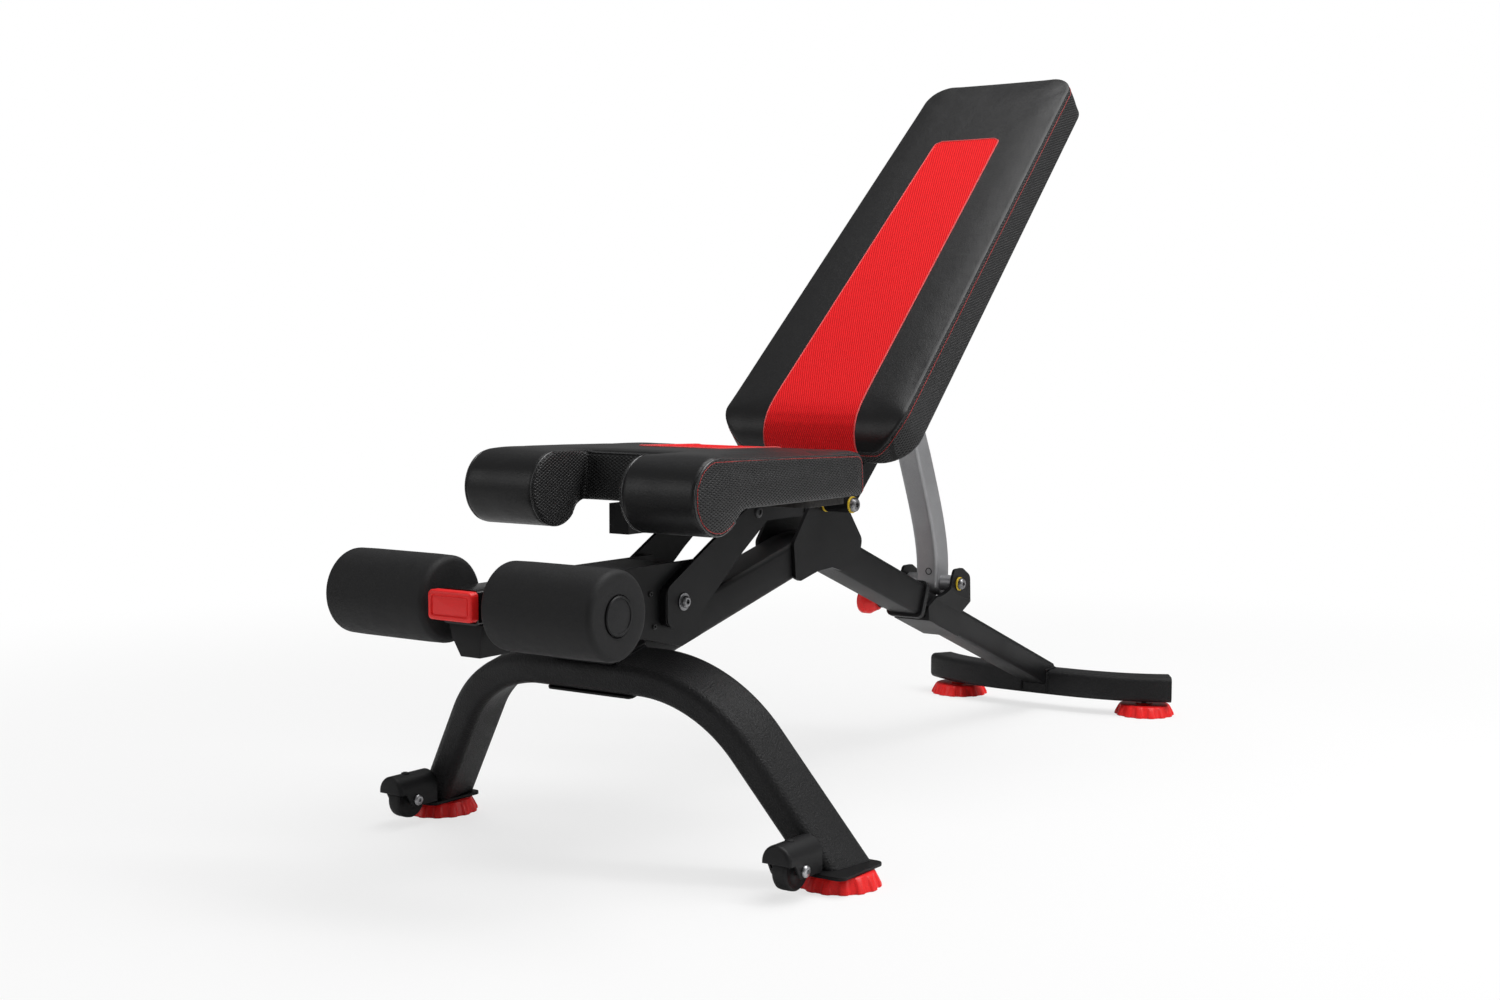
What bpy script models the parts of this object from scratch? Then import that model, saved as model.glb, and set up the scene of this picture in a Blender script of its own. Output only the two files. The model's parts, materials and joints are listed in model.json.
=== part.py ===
"""Adjustable sit up bench with a leg hold-down brace, in metres, +Z up.

X runs across the bench, Y along it from the leg rollers to the rear foot bar, Z up from the floor.
Side views are drawn as (Y, Z) outlines measured from the line between the two front feet, and the
finished bench is moved along Y so that the middle of its length stands over the origin.
"""

import math

import bmesh
import bpy
from mathutils import Matrix, Vector

# ---- driving dimensions -------------------------------------------------------------------------
GAP = 0.0003                 # between pieces that touch
TUBE_WALL = 0.0022

FRONT_FEET_HALF = 0.294      # front feet, each side of the middle
REAR_FEET_HALF = 0.166
REAR_FEET_Y = 1.115
FOOT_RADIUS = 0.0465
FOOT_HEIGHT = 0.0172
FOOT_LOBES = 14
STUD_RADIUS = 0.005
STUD_TOP = 0.030

FRONT_SLOPE = math.radians(13.7)     # the front half of the main tube climbs to the hump
REAR_SLOPE = math.radians(-21.3)     # the rear half falls to the foot bar
RAIL_WIDTH = 0.050
RAIL_HEIGHT = 0.046
HUMP_Y, HUMP_Z = 0.389, 0.3232       # where the two axes of the main tube cross
HUMP_BEND = 0.18
RAIL_END_Y = 0.648

ARCH_FOOT_Y = 0.0097         # middle of the arch at the floor; it leans with the front slope
ARCH_DEPTH = 0.068
ARCH_BAR = 0.0375            # thickness of the arch in its own plane
ARCH_TOP = 0.2219            # centre line of the crown, along the lean
ARCH_KNEE_X = 0.1565
ARCH_BEND = 0.157
ARCH_SPREAD = math.radians(33.3)

BRACE_HALF = 0.025           # square-ish tube of the leg brace
BRACE_LOW, BRACE_HIGH = 0.2905, 0.3275
BRACE_FRONT, BRACE_REAR = -0.274, 0.040
ROLLER_Y, ROLLER_Z = -0.244, 0.3106
ROLLER_RADIUS = 0.047
ROLLER_INNER, ROLLER_OUTER = 0.040, 0.186
AXLE_RADIUS = 0.008
LEVER_FACE_Y = -0.2915
LEVER_HALF = 0.0305

SEAT_HALF = 0.1725
SEAT_LOW, SEAT_HIGH = 0.4000, 0.4580
SEAT_REAR_Y = 0.2547
ROLL_Y, ROLL_Z, ROLL_RADIUS = -0.047, 0.416, 0.046
NOTCH_HALF = 0.060
SEAT_BOARD_Y, BOARD_LOW = 0.150, 0.3905
NOTCH_REAR_Y = 0.003

ARM_OUTER, ARM_PLATE = 0.047, 0.005
ARM_BOLT_Y, ARM_BOLT_Z = 0.051, 0.2835

HINGE_Y, HINGE_Z = 0.384, 0.376
BACK_ANGLE = math.radians(42.6)      # back rest above the horizontal, as it stands
BACK_RAIL_INNER, BACK_RAIL_OUTER = 0.038, 0.064
BACK_RAIL_LOW, BACK_RAIL_HIGH = -0.0135, 0.0112
BACK_RAIL_END = 0.760
BOARD_START, BOARD_THICK, BOARD_SLOPE = 0.085, 0.0115, 0.0059
BOARD_INSET = 0.014
PAD_START, PAD_END = 0.0500, 0.8110
PAD_HIGH_START, PAD_HIGH_END = 0.0813, 0.0801        # heights of its front above the hinge line
PAD_HALF_START, PAD_HALF_END = 0.1453, 0.1232
PAD_CORNER_LOW, PAD_CORNER_HIGH = 0.047, 0.042
PAD_ROLL = 0.0455            # its front rolls over to its lower end

STRUT_Y, STRUT_Z = 0.722, 0.238      # foot of the silver strut
STRUT_HALF_WIDTH = 0.0175
STRUT_DEPTH = 0.038
PIN_RADIUS = 0.006
TRACK_HALF = 0.0072
TRACK_START, TRACK_END = 0.142, 0.742

SADDLE_HALF = 0.029
EAR_INNER, EAR_OUTER = 0.040, 0.044

BAR_HALF_LENGTH = 0.204      # rear foot bar
BAR_LOW, BAR_HIGH = 0.0234, 0.0636
BAR_DEPTH = 0.045
BAR_MIDDLE_Y = 1.082
BAR_SWEEP = 0.043

KNOB_Y, KNOB_DROP = 0.629, -0.0135   # pull pin: along the bench, and below the rear tube's axis

# The strut is exactly as long as the distance between the two pivots, so that while its upper pin
# follows the track through the hinge, it turns exactly twice as fast as the back rest.
PIVOT_RUN = math.hypot(STRUT_Y - HINGE_Y, STRUT_Z - HINGE_Z)
PIVOT_SLOPE = math.atan2(STRUT_Z - HINGE_Z, STRUT_Y - HINGE_Y)
STRUT_ANGLE = 2 * BACK_ANGLE - PIVOT_SLOPE

MIDDLE_Y = (LEVER_FACE_Y + REAR_FEET_Y + FOOT_RADIUS) / 2

# name: (base colour, metallic, roughness)
FINISHES = {
    "black_frame": ((0.018, 0.018, 0.019), 0.0, 0.42),
    "black_textured": ((0.014, 0.014, 0.015), 0.0, 0.60),
    "silver_paint": ((0.42, 0.42, 0.43), 0.6, 0.36),
    "red_plastic": ((0.62, 0.018, 0.014), 0.0, 0.38),
    "yellow_plastic": ((0.75, 0.55, 0.05), 0.0, 0.45),
    "black_plastic": ((0.020, 0.020, 0.021), 0.0, 0.50),
    "black_vinyl": ((0.016, 0.016, 0.017), 0.0, 0.40),
    "black_foam": ((0.013, 0.013, 0.014), 0.0, 0.75),
    "steel": ((0.30, 0.30, 0.31), 1.0, 0.35),
    "board": ((0.020, 0.020, 0.020), 0.0, 0.70),
}

# ---- scene, groups and materials ----------------------------------------------------------------
for old in list(bpy.data.objects):
    bpy.data.objects.remove(old)

PARTS = bpy.data.collections.new("sit_up_bench")
CUTTERS = bpy.data.collections.new("cutters")
for collection in (PARTS, CUTTERS):
    bpy.context.scene.collection.children.link(collection)


def make_frame(name, y, z, angle):
    """An empty at (y, z), turned about X: the pieces parented to it are drawn in its own axes."""
    frame = bpy.data.objects.new(name, None)
    PARTS.objects.link(frame)
    frame.location = (0, y, z)
    frame.rotation_euler = (angle, 0, 0)
    return frame


BENCH = make_frame("bench_frame", 0, 0, 0)
ARCH = make_frame("arch_frame", ARCH_FOOT_Y, 0, FRONT_SLOPE)
TAIL = make_frame("tail_frame", HUMP_Y, HUMP_Z, REAR_SLOPE)
BACK = make_frame("backrest_frame", HINGE_Y, HINGE_Z, BACK_ANGLE)
STRUT = make_frame("strut_frame", STRUT_Y, STRUT_Z, STRUT_ANGLE)


def finish(name):
    """The Principled BSDF material of this name, made on first use."""
    if name in bpy.data.materials:
        return bpy.data.materials[name]
    colour, metallic, roughness = FINISHES[name]
    material = bpy.data.materials.new(name)
    material.use_nodes = True
    shader = material.node_tree.nodes["Principled BSDF"]
    shader.inputs["Base Color"].default_value = (*colour, 1)
    shader.inputs["Metallic"].default_value = metallic
    shader.inputs["Roughness"].default_value = roughness
    material.diffuse_color = (*colour, 1)
    return material


def to_object(name, bm, frame, collection):
    mesh = bpy.data.meshes.new(name)
    bm.to_mesh(mesh)
    bm.free()
    obj = bpy.data.objects.new(name, mesh)
    collection.objects.link(obj)
    obj.parent = frame
    return obj


def piece(name, bm, frame, look):
    """A visible sub-part in the axes of its frame."""
    obj = to_object(name, bm, frame, PARTS)
    obj.data.materials.append(finish(look))
    obj.data.shade_smooth()
    obj.data.set_sharp_from_angle(angle=math.radians(32))
    return obj


def combine(obj, bm, frame, operation="DIFFERENCE"):
    """Cuts a shape from a piece, or joins it on."""
    tool = to_object(f"{obj.name}_tool_{len(obj.modifiers)}", bm, frame, CUTTERS)
    tool.hide_render = True
    tool.display_type = "WIRE"
    boolean = obj.modifiers.new(operation.lower(), "BOOLEAN")
    boolean.operation = operation
    boolean.object = tool


# ---- shapes -------------------------------------------------------------------------------------
PLACE = {
    "side": lambda u, v, w: (w, u, v),
    "front": lambda u, v, w: (u, w, v),
    "top": lambda u, v, w: (u, v, w),
}


def slab(outline, low, high, view="side"):
    """A flat outline, drawn in a side, front or top view, made solid between two levels."""
    place = PLACE[view]
    bm = bmesh.new()
    face = bm.faces.new([bm.verts.new(place(u, v, low)) for u, v in outline])
    grown = bmesh.ops.extrude_face_region(bm, geom=[face])["geom"]
    bmesh.ops.translate(
        bm,
        verts=[item for item in grown if isinstance(item, bmesh.types.BMVert)],
        vec=place(0, 0, high - low),
    )
    bmesh.ops.recalc_face_normals(bm, faces=bm.faces)
    return bm


def box(x, y, z):
    """A block between pairs of coordinates."""
    bm = bmesh.new()
    bmesh.ops.create_cube(bm, size=1)
    size = [high - low for low, high in (x, y, z)]
    middle = [(high + low) / 2 for low, high in (x, y, z)]
    bmesh.ops.scale(bm, verts=bm.verts, vec=size)
    bmesh.ops.translate(bm, verts=bm.verts, vec=middle)
    return bm


ALONG = {
    "X": Matrix.Rotation(math.radians(90), 4, "Y"),
    "Y": Matrix.Rotation(math.radians(-90), 4, "X"),
    "Z": Matrix.Identity(4),
}


def rod(radius, low, high, axis="X", at=(0, 0), sides=20, end_radius=None):
    """A round bar or a cone between two levels of its axis; `at` is its place across that axis."""
    bm = bmesh.new()
    middle = {"X": (0, *at), "Y": (at[0], 0, at[1]), "Z": (*at, 0)}[axis]
    level = Vector(middle)
    level["XYZ".index(axis)] = (low + high) / 2
    bmesh.ops.create_cone(
        bm,
        cap_ends=True,
        segments=sides,
        radius1=radius,
        radius2=radius if end_radius is None else end_radius,
        depth=high - low,
        matrix=Matrix.Translation(level) @ ALONG[axis],
    )
    return bm


def strip(path, half):
    """The outline of a band that runs along a path; `half` is its half thickness, or one for each point."""
    halves = half if isinstance(half, list) else [half] * len(path)
    left, right = [], []
    for i, (u, v) in enumerate(path):
        before, after = path[max(i - 1, 0)], path[min(i + 1, len(path) - 1)]
        run, rise = after[0] - before[0], after[1] - before[1]
        length = math.hypot(run, rise)
        across = (-rise / length * halves[i], run / length * halves[i])
        left.append((u + across[0], v + across[1]))
        right.append((u - across[0], v - across[1]))
    return right + left[::-1]


def bar(path, half, low, high, view="side", radius=0.0):
    """A strip made solid, with its four long edges rounded and its two ends left square."""
    outline = strip(path, half)
    bm = slab(outline, low, high, view)
    if radius:
        count = len(path)
        ends = [
            ((outline[i][0] + outline[j][0]) / 2, (outline[i][1] + outline[j][1]) / 2)
            for i, j in ((count - 1, count), (2 * count - 1, 0))
        ]
        u_axis, v_axis, level = (PLACE[view](*unit).index(1) for unit in ((1, 0, 0), (0, 1, 0), (0, 0, 1)))
        rims = []
        for edge in bm.edges:
            a, b = (vert.co for vert in edge.verts)
            middle = (a + b) / 2
            across = abs(a[level] - b[level]) > 1e-6
            at_end = any(math.hypot(middle[u_axis] - u, middle[v_axis] - v) < 1e-5 for u, v in ends)
            if not across and not at_end:
                rims.append(edge)
        bmesh.ops.bevel(bm, geom=rims, offset=radius, segments=2, profile=0.5, affect="EDGES")
    return bm


def arc(centre, radius, start, end, steps):
    """Points on an arc, with its angles in degrees."""
    points = []
    for i in range(steps + 1):
        angle = math.radians(start + (end - start) * i / steps)
        points.append((centre[0] + radius * math.cos(angle), centre[1] + radius * math.sin(angle)))
    return points


def rounded(corners, radius, steps=3):
    """A closed outline whose corners are rounded; `radius` is one value, or one for each corner."""
    radii = radius if isinstance(radius, list) else [radius] * len(corners)
    outline = []
    for i, corner in enumerate(corners):
        here = Vector(corner)
        back = (Vector(corners[i - 1]) - here).normalized()
        ahead = (Vector(corners[(i + 1) % len(corners)]) - here).normalized()
        if radii[i] == 0:
            outline.append(tuple(here))
            continue
        half_angle = back.angle(ahead) / 2
        reach = radii[i] / math.tan(half_angle)
        centre = here + (back + ahead).normalized() * radii[i] / math.sin(half_angle)
        start, end = here + back * reach, here + ahead * reach
        for k in range(steps + 1):
            point = start.lerp(end, k / steps) - centre
            outline.append(tuple(centre + point.normalized() * radii[i]))
    return outline


def bezier(points, steps):
    """Points on the cubic curve that four control points give."""
    found = []
    for i in range(steps + 1):
        t = i / steps
        weights = ((1 - t) ** 3, 3 * t * (1 - t) ** 2, 3 * t * t * (1 - t), t ** 3)
        found.append(tuple(sum(w * p[k] for w, p in zip(weights, points)) for k in (0, 1)))
    return found


def tail_height(y):
    """Height of the rear tube's axis at a place along the bench."""
    return HUMP_Z + (y - HUMP_Y) * math.tan(REAR_SLOPE)


SIDES = (("left", -1), ("right", 1))


def both(low, high, sign):
    """A span across the bench, on the side that `sign` gives."""
    return (low, high) if sign > 0 else (-high, -low)


# ---- front leg, feet and wheels -----------------------------------------------------------------
def arch_path(end_height):
    """Centre line of the arch in its own plane, from one foot to the other."""
    tangent = ARCH_BEND * math.tan((math.pi / 2 - ARCH_SPREAD) / 2)
    flat_end = ARCH_KNEE_X - tangent
    foot_x = ARCH_KNEE_X + (ARCH_TOP - end_height) * math.tan(ARCH_SPREAD)
    turn = 90 - math.degrees(ARCH_SPREAD)
    right = arc((flat_end, ARCH_TOP - ARCH_BEND), ARCH_BEND, 90, 90 - turn, 8)
    right.append((foot_x, end_height))
    left = [(-x, z) for x, z in reversed(right)]
    return left + right


def add_front_leg():
    foot_plane = FOOT_HEIGHT + 0.0006 + 0.004 + GAP
    depth = ARCH_DEPTH / 2
    leg = piece("front_leg_arch", bar(arch_path(-0.02), ARCH_BAR / 2, -depth, depth, "front", 0.011),
                ARCH, "black_textured")
    inner = bar(arch_path(-0.04), ARCH_BAR / 2 - TUBE_WALL, -depth + TUBE_WALL, depth - TUBE_WALL,
                "front", 0.009)
    combine(leg, inner, ARCH)
    combine(leg, box((-0.5, 0.5), (-0.3, 0.3), (-0.2, foot_plane)), BENCH)
    top = ARCH_TOP + ARCH_BAR / 2
    piece("leg_flange", slab(rounded([(-0.046, -0.033), (0.046, -0.033), (0.046, 0.033), (-0.046, 0.033)],
                                     0.006), top + GAP, top + 0.0043, "top"), ARCH, "black_frame")
    low = ARCH_TOP - ARCH_BAR / 2
    piece("arch_under_plate",
          slab(rounded([(-0.062, -0.030), (0.062, -0.030), (0.062, 0.030), (-0.062, 0.030)], 0.006),
               low - 0.0033, low - GAP, "top"), ARCH, "black_frame")


def add_foot_plates():
    low = FOOT_HEIGHT + 0.0006
    for side, sign in SIDES:
        corners = [(0.262, -0.046), (0.327, -0.046), (0.327, 0.040), (0.262, 0.040)]
        plate = piece(f"foot_plate_{side}",
                      slab(rounded([(sign * x, y) for x, y in corners][::sign], 0.008), low, low + 0.004,
                           "top"), BENCH, "black_frame")
        combine(plate, rod(STUD_RADIUS + 0.0006, low - 0.01, low + 0.02, "Z", (sign * FRONT_FEET_HALF, 0)),
                BENCH)


def foot_outline(radius):
    points = []
    for i in range(FOOT_LOBES * 4):
        angle = 2 * math.pi * i / (FOOT_LOBES * 4)
        reach = radius * (1 - 0.025 * (1 - math.cos(FOOT_LOBES * angle)))
        points.append((reach * math.cos(angle), reach * math.sin(angle)))
    return points


def add_feet():
    places = [(f"foot_front_{side}", sign * FRONT_FEET_HALF, 0.0) for side, sign in SIDES]
    places += [(f"foot_rear_{side}", sign * REAR_FEET_HALF, REAR_FEET_Y) for side, sign in SIDES]
    for name, x, y in places:
        bm = slab(foot_outline(FOOT_RADIUS), 0, FOOT_HEIGHT, "top")
        upper = [vert for vert in bm.verts if vert.co.z > FOOT_HEIGHT / 2]
        bmesh.ops.scale(bm, verts=upper, vec=(0.82, 0.82, 1))
        foot = piece(name, bm, BENCH, "red_plastic")
        foot.location = (x, y, 0)
        combine(foot, rod(STUD_RADIUS, FOOT_HEIGHT - 0.004, STUD_TOP, "Z"), foot, "UNION")


WHEEL_X, WHEEL_Y, WHEEL_Z, WHEEL_RADIUS = 0.2795, -0.0738, 0.0315, 0.0230


def add_wheels():
    """A small transport wheel under a hood on the front face of each leg."""
    for side, sign in SIDES:
        x = sign * WHEEL_X
        half, wall, front, rear = 0.0185, 0.0025, -0.103, -0.0402
        crown = WHEEL_Z + 0.0120
        arch = [(x + half * math.cos(math.radians(a)), crown + half * math.sin(math.radians(a)))
                for a in range(0, 181, 20)]
        hood = piece(f"wheel_hood_{side}",
                     slab([(x + half, 0.024)] + arch + [(x - half, 0.024)], front, rear, "front"),
                     BENCH, "black_plastic")
        inner = [(x + (half - wall) * math.cos(math.radians(a)),
                  crown + (half - wall) * math.sin(math.radians(a))) for a in range(0, 181, 20)]
        combine(hood, slab([(x + half - wall, 0.010)] + inner + [(x - half + wall, 0.010)],
                           front + wall, rear - wall, "front"), BENCH)
        front_cut = [(-0.12, 0.010), (-0.0835, 0.010), (-0.0835, 0.024), (-0.0900, 0.036), (-0.12, 0.0405)]
        combine(hood, slab(front_cut, x - 0.03, x + 0.03), BENCH)
        combine(hood, rod(0.0043, x - 0.03, x + 0.03, "X", (WHEEL_Y, WHEEL_Z)), BENCH)
        wheel = rod(WHEEL_RADIUS, -0.0095, 0.0095, "X", sides=28)
        bmesh.ops.bevel(wheel, geom=[e for e in wheel.edges if abs(e.verts[0].co.x - e.verts[1].co.x) < 1e-6],
                        offset=0.002, segments=1, affect="EDGES")
        turning = piece(f"transport_wheel_{side}", wheel, BENCH, "black_plastic")
        turning.location = (x, WHEEL_Y, WHEEL_Z)
        combine(turning, rod(0.0045, -0.02, 0.02, "X"), turning)
        axle = piece(f"wheel_axle_{side}", rod(0.0040, x - 0.0215, x + 0.0215, "X", (WHEEL_Y, WHEEL_Z)),
                     BENCH, "steel")
        for low, high in ((x - 0.0225, x - half - GAP), (x + half + GAP, x + 0.0225)):
            combine(axle, rod(0.0068, low, high, "X", (WHEEL_Y, WHEEL_Z), 6), BENCH, "UNION")


# ---- main tube, hump and front housing ----------------------------------------------------------
def rail_path(start_y, end_y):
    """Centre line of the main tube: up the front slope, round the hump and down the rear slope."""
    turn = FRONT_SLOPE - REAR_SLOPE
    reach = HUMP_BEND * math.tan(turn / 2)
    first = (HUMP_Y - reach * math.cos(FRONT_SLOPE), HUMP_Z - reach * math.sin(FRONT_SLOPE))
    centre = (first[0] + HUMP_BEND * math.sin(FRONT_SLOPE), first[1] - HUMP_BEND * math.cos(FRONT_SLOPE))
    bend = arc(centre, HUMP_BEND, 90 + math.degrees(FRONT_SLOPE), 90 + math.degrees(REAR_SLOPE), 6)
    start = (start_y, HUMP_Z + (start_y - HUMP_Y) * math.tan(FRONT_SLOPE))
    return [start] + bend + [(end_y, tail_height(end_y))]


def add_main_rail():
    level = HUMP_Z * math.cos(FRONT_SLOPE) - (HUMP_Y - ARCH_FOOT_Y) * math.sin(FRONT_SLOPE)
    start = ARCH_FOOT_Y + (ARCH_DEPTH / 2 + GAP) * math.cos(FRONT_SLOPE) - level * math.sin(FRONT_SLOPE)
    half = RAIL_WIDTH / 2
    rail = piece("main_rail", bar(rail_path(start, RAIL_END_Y), RAIL_HEIGHT / 2, -half, half, "side", 0.006),
                 BENCH, "black_frame")
    inner = bar(rail_path(start - 0.01, RAIL_END_Y + 0.01), RAIL_HEIGHT / 2 - TUBE_WALL,
                -half + TUBE_WALL, half - TUBE_WALL, "side", 0.004)
    combine(rail, inner, BENCH)
    pin_hole = rod(0.0046, -0.03, -0.02, "X", (KNOB_Y, tail_height(KNOB_Y) + KNOB_DROP))
    combine(rail, pin_hole, BENCH)


def add_hump_plates():
    corners = [(0.3143, 0.2835), (0.3256, 0.2795), (0.3664, 0.2885), (0.401, 0.2905), (0.424, 0.284),
               (0.470, 0.300), (0.4763, 0.3219), (0.4450, 0.3600), (0.4080, 0.3975), (0.3640, 0.3975),
               (0.3441, 0.3712), (0.3093, 0.3294)]
    radii = [0.004, 0.006, 0.02, 0.0, 0.0, 0.006, 0.012, 0.006, 0.014, 0.014, 0.008, 0.008]
    outline = rounded(corners, radii)
    for side, sign in SIDES:
        low, high = both(RAIL_WIDTH / 2 + GAP, RAIL_WIDTH / 2 + 0.0050, sign)
        plate = piece(f"hump_plate_{side}", slab(outline, low, high), BENCH, "black_frame")
        combine(plate, rod(0.0064, low - 0.01, high + 0.01, "X", (HINGE_Y, HINGE_Z)), BENCH)


def add_front_housing():
    """A channel on the arch: it takes the front of the main tube and the socket of the leg brace."""
    outline = [(-0.105, 0.2880), (-0.0815, 0.2305), (-0.0144, 0.2468), (0.0611, 0.2290), (0.098, 0.2380),
               (0.098, 0.3296), (-0.097, 0.3296), (-0.105, 0.3216)]
    housing = piece("front_housing", slab(outline, -0.0370, 0.0370), BENCH, "black_frame")
    inner = [(-0.13, 0.2878), (-0.1012, 0.2878), (-0.0792, 0.2352), (-0.0144, 0.2510), (0.13, 0.2600),
             (0.13, 0.36), (-0.13, 0.36)]
    combine(housing, slab(inner, -0.0335, 0.0335), BENCH)
    below = strip(rail_path(-0.2, 0.2)[:1] + [(0.15, HUMP_Z + (0.15 - HUMP_Y) * math.tan(FRONT_SLOPE))],
                  RAIL_HEIGHT / 2 + 0.0006)
    combine(housing, slab(below, -RAIL_WIDTH / 2 - 0.0006, RAIL_WIDTH / 2 + 0.0006), BENCH)
    combine(housing, rod(0.0060, -0.05, 0.05, "X", (ARM_BOLT_Y, ARM_BOLT_Z)), BENCH)


def add_brace_socket():
    wall = 0.0016
    outer = box((-0.0332, 0.0332), (-0.104, 0.0425), (BRACE_LOW - 0.0004 - wall, BRACE_HIGH + 0.0004 + wall))
    socket = piece("brace_socket", outer, BENCH, "black_plastic")
    combine(socket, box((-BRACE_HALF - 0.0004, BRACE_HALF + 0.0004), (-0.2, 0.1),
                        (BRACE_LOW - 0.0004, BRACE_HIGH + 0.0004)), BENCH)


# ---- leg brace ----------------------------------------------------------------------------------
def add_brace():
    tube = piece("brace_tube", bar([(BRACE_FRONT, (BRACE_LOW + BRACE_HIGH) / 2),
                                    (BRACE_REAR, (BRACE_LOW + BRACE_HIGH) / 2)],
                                   (BRACE_HIGH - BRACE_LOW) / 2, -BRACE_HALF, BRACE_HALF, "side", 0.005),
                 BENCH, "black_frame")
    combine(tube, bar([(BRACE_FRONT - 0.01, (BRACE_LOW + BRACE_HIGH) / 2),
                       (BRACE_REAR + 0.01, (BRACE_LOW + BRACE_HIGH) / 2)],
                      (BRACE_HIGH - BRACE_LOW) / 2 - TUBE_WALL, -BRACE_HALF + TUBE_WALL,
                      BRACE_HALF - TUBE_WALL, "side", 0.003), BENCH)
    combine(tube, rod(AXLE_RADIUS + GAP, -0.05, 0.05, "X", (ROLLER_Y, ROLLER_Z)), BENCH)
    piece("roller_axle", rod(AXLE_RADIUS, -ROLLER_OUTER + 0.004, ROLLER_OUTER - 0.004, "X",
                             (ROLLER_Y, ROLLER_Z)), BENCH, "steel")
    for side, sign in SIDES:
        low, high = both(ROLLER_INNER, ROLLER_OUTER, sign)
        foam = rod(ROLLER_RADIUS, low, high, "X", sides=36)
        ends = [e for e in foam.edges if abs(e.verts[0].co.x - e.verts[1].co.x) < 1e-6]
        bmesh.ops.bevel(foam, geom=ends, offset=0.005, segments=2, affect="EDGES")
        roller = piece(f"foam_roller_{side}", foam, BENCH, "black_foam")
        roller.location = (0, ROLLER_Y, ROLLER_Z)
        combine(roller, rod(AXLE_RADIUS + 0.0012, *both(0.02, ROLLER_OUTER - 0.002, sign), "X"), roller)
        combine(roller, rod(0.0218, *both(ROLLER_OUTER - 0.0035, ROLLER_OUTER + 0.01, sign), "X"), roller)
        low, high = both(ROLLER_OUTER - 0.0030, ROLLER_OUTER + 0.0012, sign)
        piece(f"roller_cap_{side}", rod(0.0208, low, high, "X", (ROLLER_Y, ROLLER_Z), 28), BENCH,
              "black_plastic")
    nose = [(-0.0245, BRACE_LOW - GAP), (-0.0135, 0.254), (0.0135, 0.254), (0.0245, BRACE_LOW - GAP)]
    lower = piece("brace_bracket", slab(nose, -0.2665, -0.200, "front"), BENCH, "black_frame")
    combine(lower, slab([(-0.29, 0.300), (-0.2740, 0.300), (-0.2600, 0.2530), (-0.29, 0.2530)], -0.03, 0.03),
            BENCH)
    combine(lower, slab([(-0.215, 0.250), (-0.1990, 0.2900), (-0.19, 0.30), (-0.18, 0.25)], -0.03, 0.03),
            BENCH)
    add_lever()


def add_lever():
    """A squeeze lever in the mouth of the brace tube: its dished face is pressed towards the tube."""
    face = rounded([(-LEVER_HALF, 0.2958), (LEVER_HALF, 0.2958), (LEVER_HALF, 0.3272), (-LEVER_HALF, 0.3272)],
                   0.005)
    lever = piece("release_lever", slab(face, LEVER_FACE_Y, LEVER_FACE_Y + 0.012, "front"), BENCH,
                  "red_plastic")
    dish = rounded([(-0.0270, 0.2990), (0.0270, 0.2990), (0.0270, 0.3240), (-0.0270, 0.3240)], 0.004)
    combine(lever, slab(dish, LEVER_FACE_Y - 0.01, LEVER_FACE_Y + 0.0012, "front"), BENCH)
    stem = box((-0.0180, 0.0180), (LEVER_FACE_Y + 0.006, -0.2580), (0.2990, 0.3190))
    combine(lever, stem, BENCH, "UNION")


# ---- seat ---------------------------------------------------------------------------------------
def add_seat_arms():
    """A plate on each side: a strap up from the housing, and a level bar under the seat."""
    corners = [(0.0200, 0.2560), (0.0665, 0.2500), (0.1022, 0.2797), (0.1720, 0.3320), (0.2240, 0.3660),
               (0.3050, 0.3660), (0.3050, 0.3902), (0.1940, 0.3902), (0.1103, 0.3498), (0.0200, 0.3020)]
    radii = [0.012, 0.020, 0.05, 0.0, 0.004, 0.004, 0.004, 0.01, 0.0, 0.010]
    spacer = rounded([(0.0180, 0.2580), (0.0640, 0.2520), (0.0860, 0.2720), (0.0860, 0.3300),
                      (0.0640, 0.3250), (0.0180, 0.3000)], 0.008)
    for side, sign in SIDES:
        low, high = both(ARM_OUTER - ARM_PLATE, ARM_OUTER, sign)
        arm = piece(f"seat_arm_{side}", slab(rounded(corners, radii), low, high), BENCH, "black_frame")
        combine(arm, slab(spacer, *both(0.0373, ARM_OUTER - 0.001, sign)), BENCH, "UNION")
        combine(arm, rod(0.0060, *both(0.03, 0.06, sign), "X", (ARM_BOLT_Y, ARM_BOLT_Z)), BENCH)
    bolt = piece("arm_bolt", rod(0.0055, -0.0560, 0.0560, "X", (ARM_BOLT_Y, ARM_BOLT_Z)), BENCH, "steel")
    for side, sign in SIDES:
        place = (ARM_BOLT_Y, ARM_BOLT_Z)
        washer, head = both(ARM_OUTER + GAP, ARM_OUTER + 0.0018, sign), both(0.048, 0.0545, sign)
        combine(bolt, rod(0.0100, *washer, "X", place), BENCH, "UNION")
        combine(bolt, rod(0.0075, *head, "X", place, 6), BENCH, "UNION")


def add_seat_frame():
    rail = piece("seat_rail", box((-0.014, 0.014), (-0.0110, 0.3600), (0.3645, BOARD_LOW - GAP)), BENCH,
                 "black_frame")
    riser = box((-0.014, 0.014), (-0.0110, SEAT_BOARD_Y - GAP), (0.380, SEAT_LOW - GAP))
    combine(rail, riser, BENCH, "UNION")
    combine(rail, box((-0.0120, 0.0120), (-0.0085, 0.4), (0.3665, BOARD_LOW - 0.0023)), BENCH)
    board = rounded([(-0.150, SEAT_BOARD_Y), (0.150, SEAT_BOARD_Y), (0.150, 0.246), (-0.150, 0.246)], 0.015)
    piece("seat_board", slab(board, BOARD_LOW, SEAT_LOW - 0.0005, "top"), BENCH, "board")


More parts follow.
